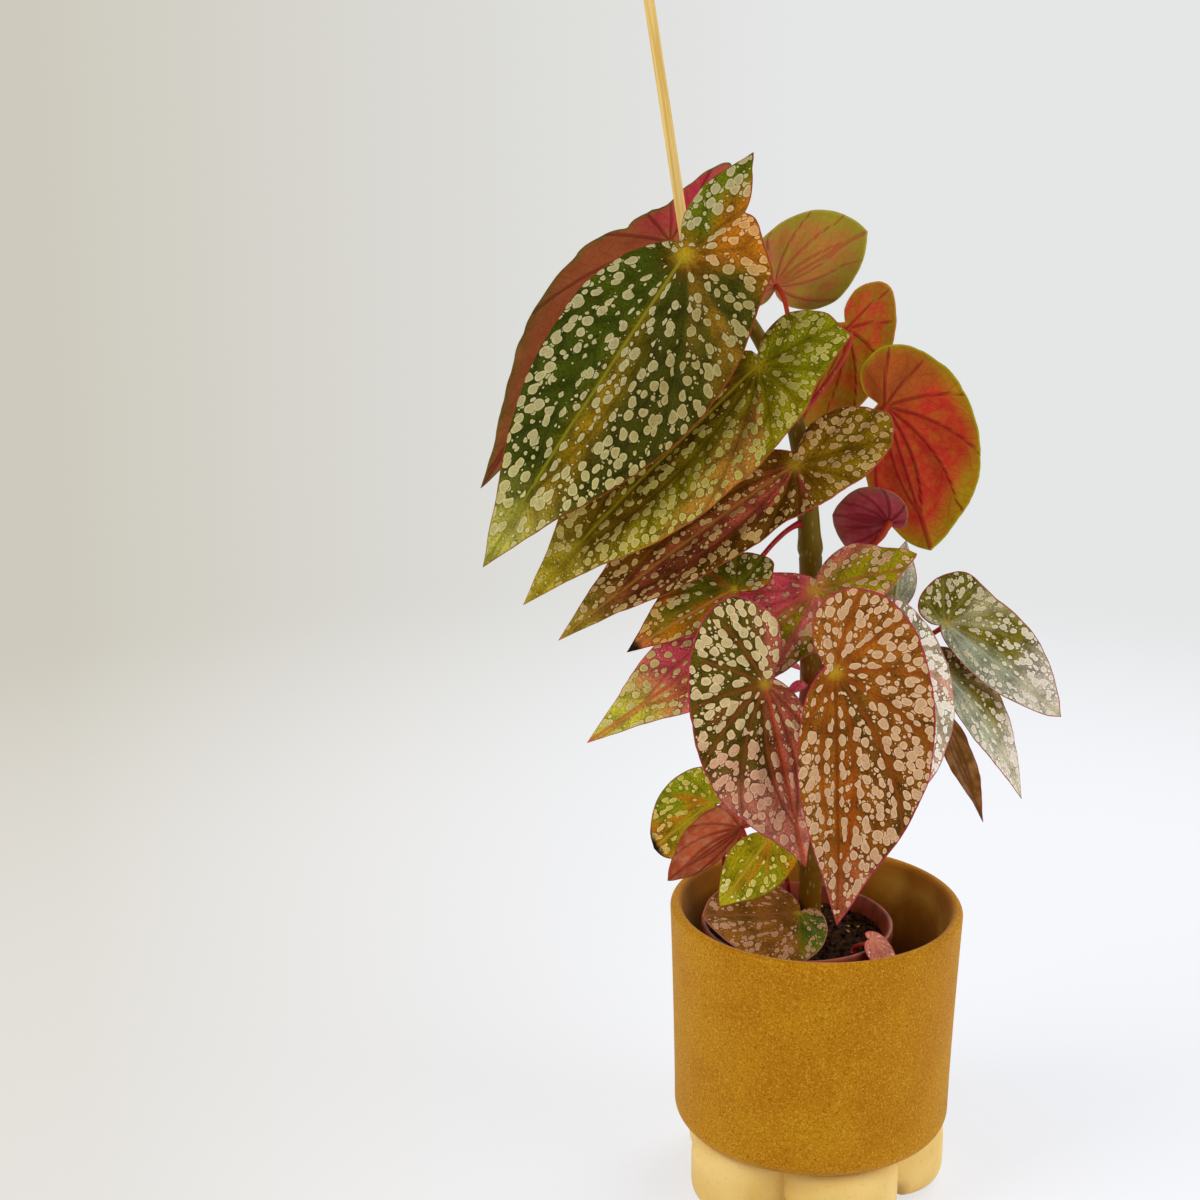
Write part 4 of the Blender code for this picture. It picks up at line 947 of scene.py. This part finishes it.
def build_cover_pot():
    """Thrown pot: rounded foot, wall that leans out by 3 mm, most of it near the top, round rim and flat
    floor."""
    lip, foot, corner = POT_WALL / 2, POT_FOOT_ROUNDING, POT_FLOOR_ROUNDING
    lean, rim = POT_RIM_RADIUS - POT_FOOT_RADIUS, POT_TOP - lip
    outer = [(POT_FOOT_RADIUS + lean * t ** 1.4, POT_BOTTOM + foot + (rim - POT_BOTTOM - foot) * t)
             for t in np.linspace(0.04, 0.97, 26)]
    inner = [(POT_RIM_RADIUS - POT_WALL - lean * t, rim - (rim - POT_FLOOR_TOP - corner) * t)
             for t in np.linspace(0.04, 0.97, 24)]
    profile = [(0, POT_BOTTOM)]
    profile += corner_arc(POT_FOOT_RADIUS - foot, POT_BOTTOM + foot, foot, -90, 0, 12) + outer
    profile += corner_arc(POT_RIM_RADIUS - lip, rim, lip, 0, 180, 16) + inner
    profile += corner_arc(POT_FOOT_RADIUS - POT_WALL - corner, POT_FLOOR_TOP + corner, corner, 0, -90, 8)
    profile += [(0, POT_FLOOR_TOP)]
    points, faces = turned_surface(profile, 192)
    x, y, z = points.T
    radius = np.hypot(x, y)
    wobble = 0.25 * layered_noise(points * (1, 1, 0.5), 40.0, 2, 11) - 0.25     # thrown, so not quite round
    points[:, :2] *= np.where(radius > 5, 1 + wobble / np.maximum(radius, 5), 1)[:, None]
    wall_middle = POT_RIM_RADIUS - lip
    inside = smoothstep(wall_middle, wall_middle - 2, radius)
    inside = inside * smoothstep(POT_FLOOR_TOP - 1, POT_FLOOR_TOP, z)
    # painted light: the patch where light falls on the inside of the wall on the right, from 30 to 45 mm
    # below the rim up to 4 to 10 mm below it
    stain_and_painted_light = smoothstep(0.9, 0.6, np.abs(np.arctan2(y, x) - 0.25)) * smoothstep(POT_TOP - 45, POT_TOP - 30, z)
    stain_and_painted_light *= inside * smoothstep(POT_TOP - 4, POT_TOP - 10, z)
    make_piece("stoneware_pot", points, faces, [ochre_stoneware()], ["cover_pot"],
               dict(inside=inside, stain_and_painted_light=stain_and_painted_light))


def build_nursery_pot():
    """Thin tapered pot with a 5 mm collar round its rim."""
    collar, wall, rim, foot = NURSERY_COLLAR, NURSERY_WALL, NURSERY_RIM_RADIUS, NURSERY_FOOT_RADIUS
    profile = [(0, NURSERY_BOTTOM), (foot, NURSERY_BOTTOM), (rim - 2, NURSERY_TOP - collar),
               (rim - 0.2, NURSERY_TOP - collar), (rim, NURSERY_TOP - collar + 0.4), (rim, NURSERY_TOP - 0.5),
               (rim - 0.5, NURSERY_TOP), (rim - wall - 0.6, NURSERY_TOP), (rim - wall - 1, NURSERY_TOP - 0.4),
               (rim - 2 - wall, NURSERY_TOP - collar - 2), (foot - wall, NURSERY_BOTTOM + wall),
               (0, NURSERY_BOTTOM + wall)]
    points, faces = turned_surface(profile, 128, NURSERY_CENTRE_X)
    make_piece("plastic_pot", points, faces, [terracotta_plastic()], ["nursery_pot"])


def nursery_inner_radius(height):
    """Radius inside the nursery pot's wall at a height."""
    low, high = NURSERY_BOTTOM + NURSERY_WALL, NURSERY_TOP - 7
    wide, narrow = NURSERY_RIM_RADIUS - 2 - NURSERY_WALL, NURSERY_FOOT_RADIUS - NURSERY_WALL
    return narrow + (wide - narrow) * (height - low) / (high - low)


def build_soil():
    """Soil: rings whose height is two sizes of lumpy noise, over a plain side hidden in the pot; and crumbs,
    balls of 20 rough points, lying on it."""
    low = NURSERY_BOTTOM + NURSERY_WALL + GAP
    edge, sides, rings = nursery_inner_radius(SOIL_TOP) - GAP, 220, 89
    turn = all_round(sides)
    out = edge * np.linspace(0, 1, rings + 1)[1:, None] ** 0.7
    top = ring_points(out, turn, 0.0, NURSERY_CENTRE_X)
    lumps = 1.3 * layered_noise(top, 9.0, 3, 21) + 1.6 * np.abs(layered_noise(top, 2.6, 2, 22))
    top[:, 2] = SOIL_TOP - 1.4 + lumps
    foot = ring_points(nursery_inner_radius(low) - GAP, turn, low, NURSERY_CENTRE_X)
    ends = [[NURSERY_CENTRE_X, 0, SOIL_TOP - 1], [NURSERY_CENTRE_X, 0, low]]
    soil = potting_soil()
    points = np.vstack([top, foot, ends])
    make_piece("soil_fill", points, closed_faces(rings + 1, sides), [soil], ["soil"])

    rng = np.random.default_rng(7)
    count = CRUMB_COUNT
    radius = edge * np.sqrt(rng.uniform(0, 0.95, count))
    angle = rng.uniform(0, 2 * math.pi, count)
    centres = ring_points(radius, angle, SOIL_TOP - rng.uniform(-0.4, 0.6, count), NURSERY_CENTRE_X)
    size = rng.uniform(0.4, 1.2, count)[:, None, None]
    level = np.radians([-60, 0, 60])[:, None]
    ball = np.vstack([ring_points(np.cos(level), all_round(6), np.sin(level)), [[0, 0, -1], [0, 0, 1]]])
    rough = 1 + 0.35 * rng.uniform(-1, 1, (count, len(ball), 1))
    points = (centres[:, None] + ball * rough * size).reshape(-1, 3)
    one = closed_faces(3, 6)
    faces = [tuple(v + len(ball) * n for v in face) for n in range(count) for face in one]
    make_piece("soil_crumbs", points, faces, [soil])


# ---------------------------------------------------------------- stand

FOOT_COUNT = 5
FOOT_CIRCLE = 38.0
FOOT_RADIUS = 28.0
FOOT_TURN = math.radians(23.0 - 90.0)
LOW_EDGE = (9.0, 4.5)       # height and depth of the rounding at the floor
TOP_EDGE = (10.0, 9.0)      # and under the pot
ARCH_HEIGHT = 8.0
ARCH_HALF_ANGLE = math.radians(7.0)


def foot_offset(turn):
    """Angle from the middle of the nearest foot."""
    step = 2 * math.pi / FOOT_COUNT
    return (turn - FOOT_TURN + step / 2) % step - step / 2


def glazed_ceramic():
    """Slip-cast ceramic under a thin cream satin glaze that breaks a little darker in clouds and pinholes."""
    made, tree = new_finish("cream_glazed_ceramic", {"Roughness": 0.5, "Specular IOR Level": 0.2})
    place = add(tree, "TexCoord", out="Object")
    cloud = add(tree, "TexNoise", place, 30.0, 4.0)
    share = add(tree, "MapRange", cloud, 0.3, 0.7, **EASED)
    colour = add(tree, "Mix", share, rgba("#d8b05c"), rgba("#e6c478"), data_type="RGBA")
    pinhole = add(tree, "MapRange", add(tree, "TexNoise", place, 600.0, 2.0), 0.6, 0.75, 0.0, 0.3)
    colour = add(tree, "Mix", pinhole, colour, rgba("#b88c4c"), data_type="RGBA")
    return finish_with(made, colour, cloud, 0.0006)


def build_stand():
    """Stand of round feet. Plan radius = circle * cos(a) + sqrt(foot^2 - (circle * sin a)^2), a being the
    angle from the nearest foot; it is drawn in towards top and bottom, and a half-ellipse arch opens at the
    floor between every two feet."""
    sides = 420
    turn = all_round(sides)
    off = foot_offset(turn)
    beside = np.maximum(FOOT_RADIUS ** 2 - (FOOT_CIRCLE * np.sin(off)) ** 2, 0)
    plan = FOOT_CIRCLE * np.cos(off) + np.sqrt(beside)
    seam = math.pi / FOOT_COUNT - np.abs(off)
    arch = ARCH_HEIGHT * np.sqrt(np.maximum(0, 1 - (seam / ARCH_HALF_ANGLE) ** 2))
    rise, depth = LOW_EDGE
    side = [(0, 14), (0, 8), (0, depth)] + [(rise - rise * math.cos(a), depth - depth * math.sin(a))
                                            for a in np.radians([20, 35, 50, 65, 80, 90])]
    rise, depth = TOP_EDGE
    side += [(16, 0), (STAND_HEIGHT - rise, 0)]
    side += [(STAND_HEIGHT - rise + rise * math.sin(a), depth - depth * math.cos(a))
             for a in np.radians([15, 30, 45, 60, 75, 90])] + [(STAND_HEIGHT, 14)]
    rows = []
    for number, (height, inset) in enumerate(side):
        lift = arch * max(0.0, 1 - height / 16) if number else 0.0
        rows.append(ring_points(plan - inset, turn, height + lift))
    points = np.vstack(rows + [[[0, 0, 0]], [[0, 0, STAND_HEIGHT]]])
    make_piece("lobed_stand", points, closed_faces(len(side), sides), [glazed_ceramic()], ["stand"])


# ---------------------------------------------------------------- room

FLOOR_LEFT, FLOOR_RIGHT = "#dcd7cd", "#f3f5f9"
WALL_LEFT, WALL_RIGHT = "#cecabd", "#e5e6e6"


def seen_rays(tree):
    """1 for rays that only look at the background: camera, mirror and glass."""
    path = add(tree, "LightPath").node
    looks = path.outputs["Is Camera Ray"]
    for kind in ("Is Glossy Ray", "Is Transmission Ray"):
        looks = add(tree, "Math", looks, path.outputs[kind], operation="MAXIMUM")
    return looks


def room_side(tree, across, away):
    """0 to the left, where the room is warm, to 1 on the right, where it is cool, as beside a window."""
    away = add(tree, "Math", add(tree, "Math", away, operation="ABSOLUTE"), 0.1, operation="MAXIMUM")
    return add(tree, "MapRange", add(tree, "Math", across, away, operation="DIVIDE"), -0.37, -0.02)


def build_floor():
    """Floor 80 m wide, so that no horizon shows: it fades into the wall's colours with distance."""
    made, tree = new_finish("matt_white_paint", {"Roughness": 0.9, "Base Color": rgba(FLOOR_RIGHT)})
    place = add(tree, "TexCoord", out="Object")
    away = add(tree, "VectorMath", place, operation="LENGTH", out="Value")
    across, depth = (add(tree, "SeparateXYZ", place, out=axis) for axis in (0, 1))
    side = room_side(tree, across, add(tree, "Math", depth, 1.0, operation="ADD"))
    near = add(tree, "Mix", side, rgba(FLOOR_LEFT), rgba(FLOOR_RIGHT), data_type="RGBA")
    wall = add(tree, "Mix", side, rgba(WALL_LEFT), rgba(WALL_RIGHT), data_type="RGBA")
    far = add(tree, "MapRange", away, 0.45, 1.1, **EASED)
    shown = add(tree, "Mix", far, near, wall, data_type="RGBA")
    glow = add(tree, "Emission", shown, 1.0)
    share = add(tree, "MapRange", away, 0.1, 1.0, 0.6, 1.0)
    share = add(tree, "Math", seen_rays(tree), share, operation="MULTIPLY")
    both = add(tree, "MixShader", share, tree.nodes[PRINCIPLED].outputs[0], glow)
    tree.links.new(both, tree.nodes["Material Output"].inputs["Surface"])
    mesh = bpy.data.meshes.new("floor")
    mesh.from_pydata([(-40, -40, 0), (40, -40, 0), (40, 40, 0), (-40, 40, 0)], [], [(0, 1, 2, 3)])
    mesh.materials.append(made)
    floor = bpy.data.objects.new("floor", mesh)
    bpy.context.scene.collection.objects.link(floor)


def build_light():
    """Plain white world, shown in the wall's colours, and three soft lamps: window, fill and back."""
    world = bpy.data.worlds.new("studio")
    world.use_nodes = True
    tree = world.node_tree
    back = tree.nodes["Background"]
    back.inputs["Color"].default_value = rgba("#ffffff")
    back.inputs["Strength"].default_value = 0.5
    direction = add(tree, "TexCoord", out="Generated")
    across, away = (add(tree, "SeparateXYZ", direction, out=axis) for axis in (0, 1))
    side = room_side(tree, across, away)
    shown = add(tree, "Mix", side, rgba(WALL_LEFT), rgba(WALL_RIGHT), data_type="RGBA")
    wall = add(tree, "Background", shown, 1.0)
    both = add(tree, "MixShader", seen_rays(tree), back.outputs[0], wall)
    tree.links.new(both, tree.nodes["World Output"].inputs["Surface"])
    bpy.context.scene.world = world
    for name, where, aim, size, power in (("window", (-1.5, -1.0, 1.5), (0, 0, 0.3), 1.2, 26),
                                          ("fill", (1.7, -0.7, 0.9), (0, 0, 0.3), 1.4, 18),
                                          ("back", (0.9, 1.5, 1.3), (0, 0, 0.35), 1.2, 16)):
        lamp = bpy.data.lights.new(name, "AREA")
        lamp.size = size
        lamp.energy = power
        holder = bpy.data.objects.new(name, lamp)
        holder.location = where
        reach = np.array(aim) - np.array(where)
        tip = math.atan2(math.hypot(reach[0], reach[1]), -reach[2])
        holder.rotation_euler = (tip, 0, math.atan2(reach[1], reach[0]) - math.pi / 2)
        bpy.context.scene.collection.objects.link(holder)


def build_camera():
    """Camera a little above the leaves, looking down at the pot."""
    camera = bpy.data.cameras.new("camera")
    camera.lens = 66.0
    camera.sensor_width = 36.0
    holder = bpy.data.objects.new("camera", camera)
    holder.location = (0, -0.975, 0.584)
    holder.rotation_euler = (math.radians(73.4), 0, math.radians(6.1))
    bpy.context.scene.collection.objects.link(holder)
    bpy.context.scene.camera = holder
    bpy.context.scene.view_settings.view_transform = "Standard"


build_camera()
build_floor()
build_light()
build_stand()
build_cover_pot()
build_nursery_pot()
build_soil()
build_stems()
leaf_finishes = [leaf_cuticle(), leaf_underside()]
for number, (name, leaf) in enumerate(LEAVES.items()):
    build_leaf(f"blade_{name}", leaf, number, leaf_finishes, f"leaf_{name}")
for number, (name, stipule) in enumerate(STIPULES.items()):
    seat, leave = cane_seat(stipule["height"], stipule["heading"])
    leaf = dict(STIPULE_SHAPE, **stipule, joint=seat + leave * STIPULE_BASE)
    build_leaf(f"{name}_sheath", leaf, len(LEAVES) + number, leaf_finishes, name)
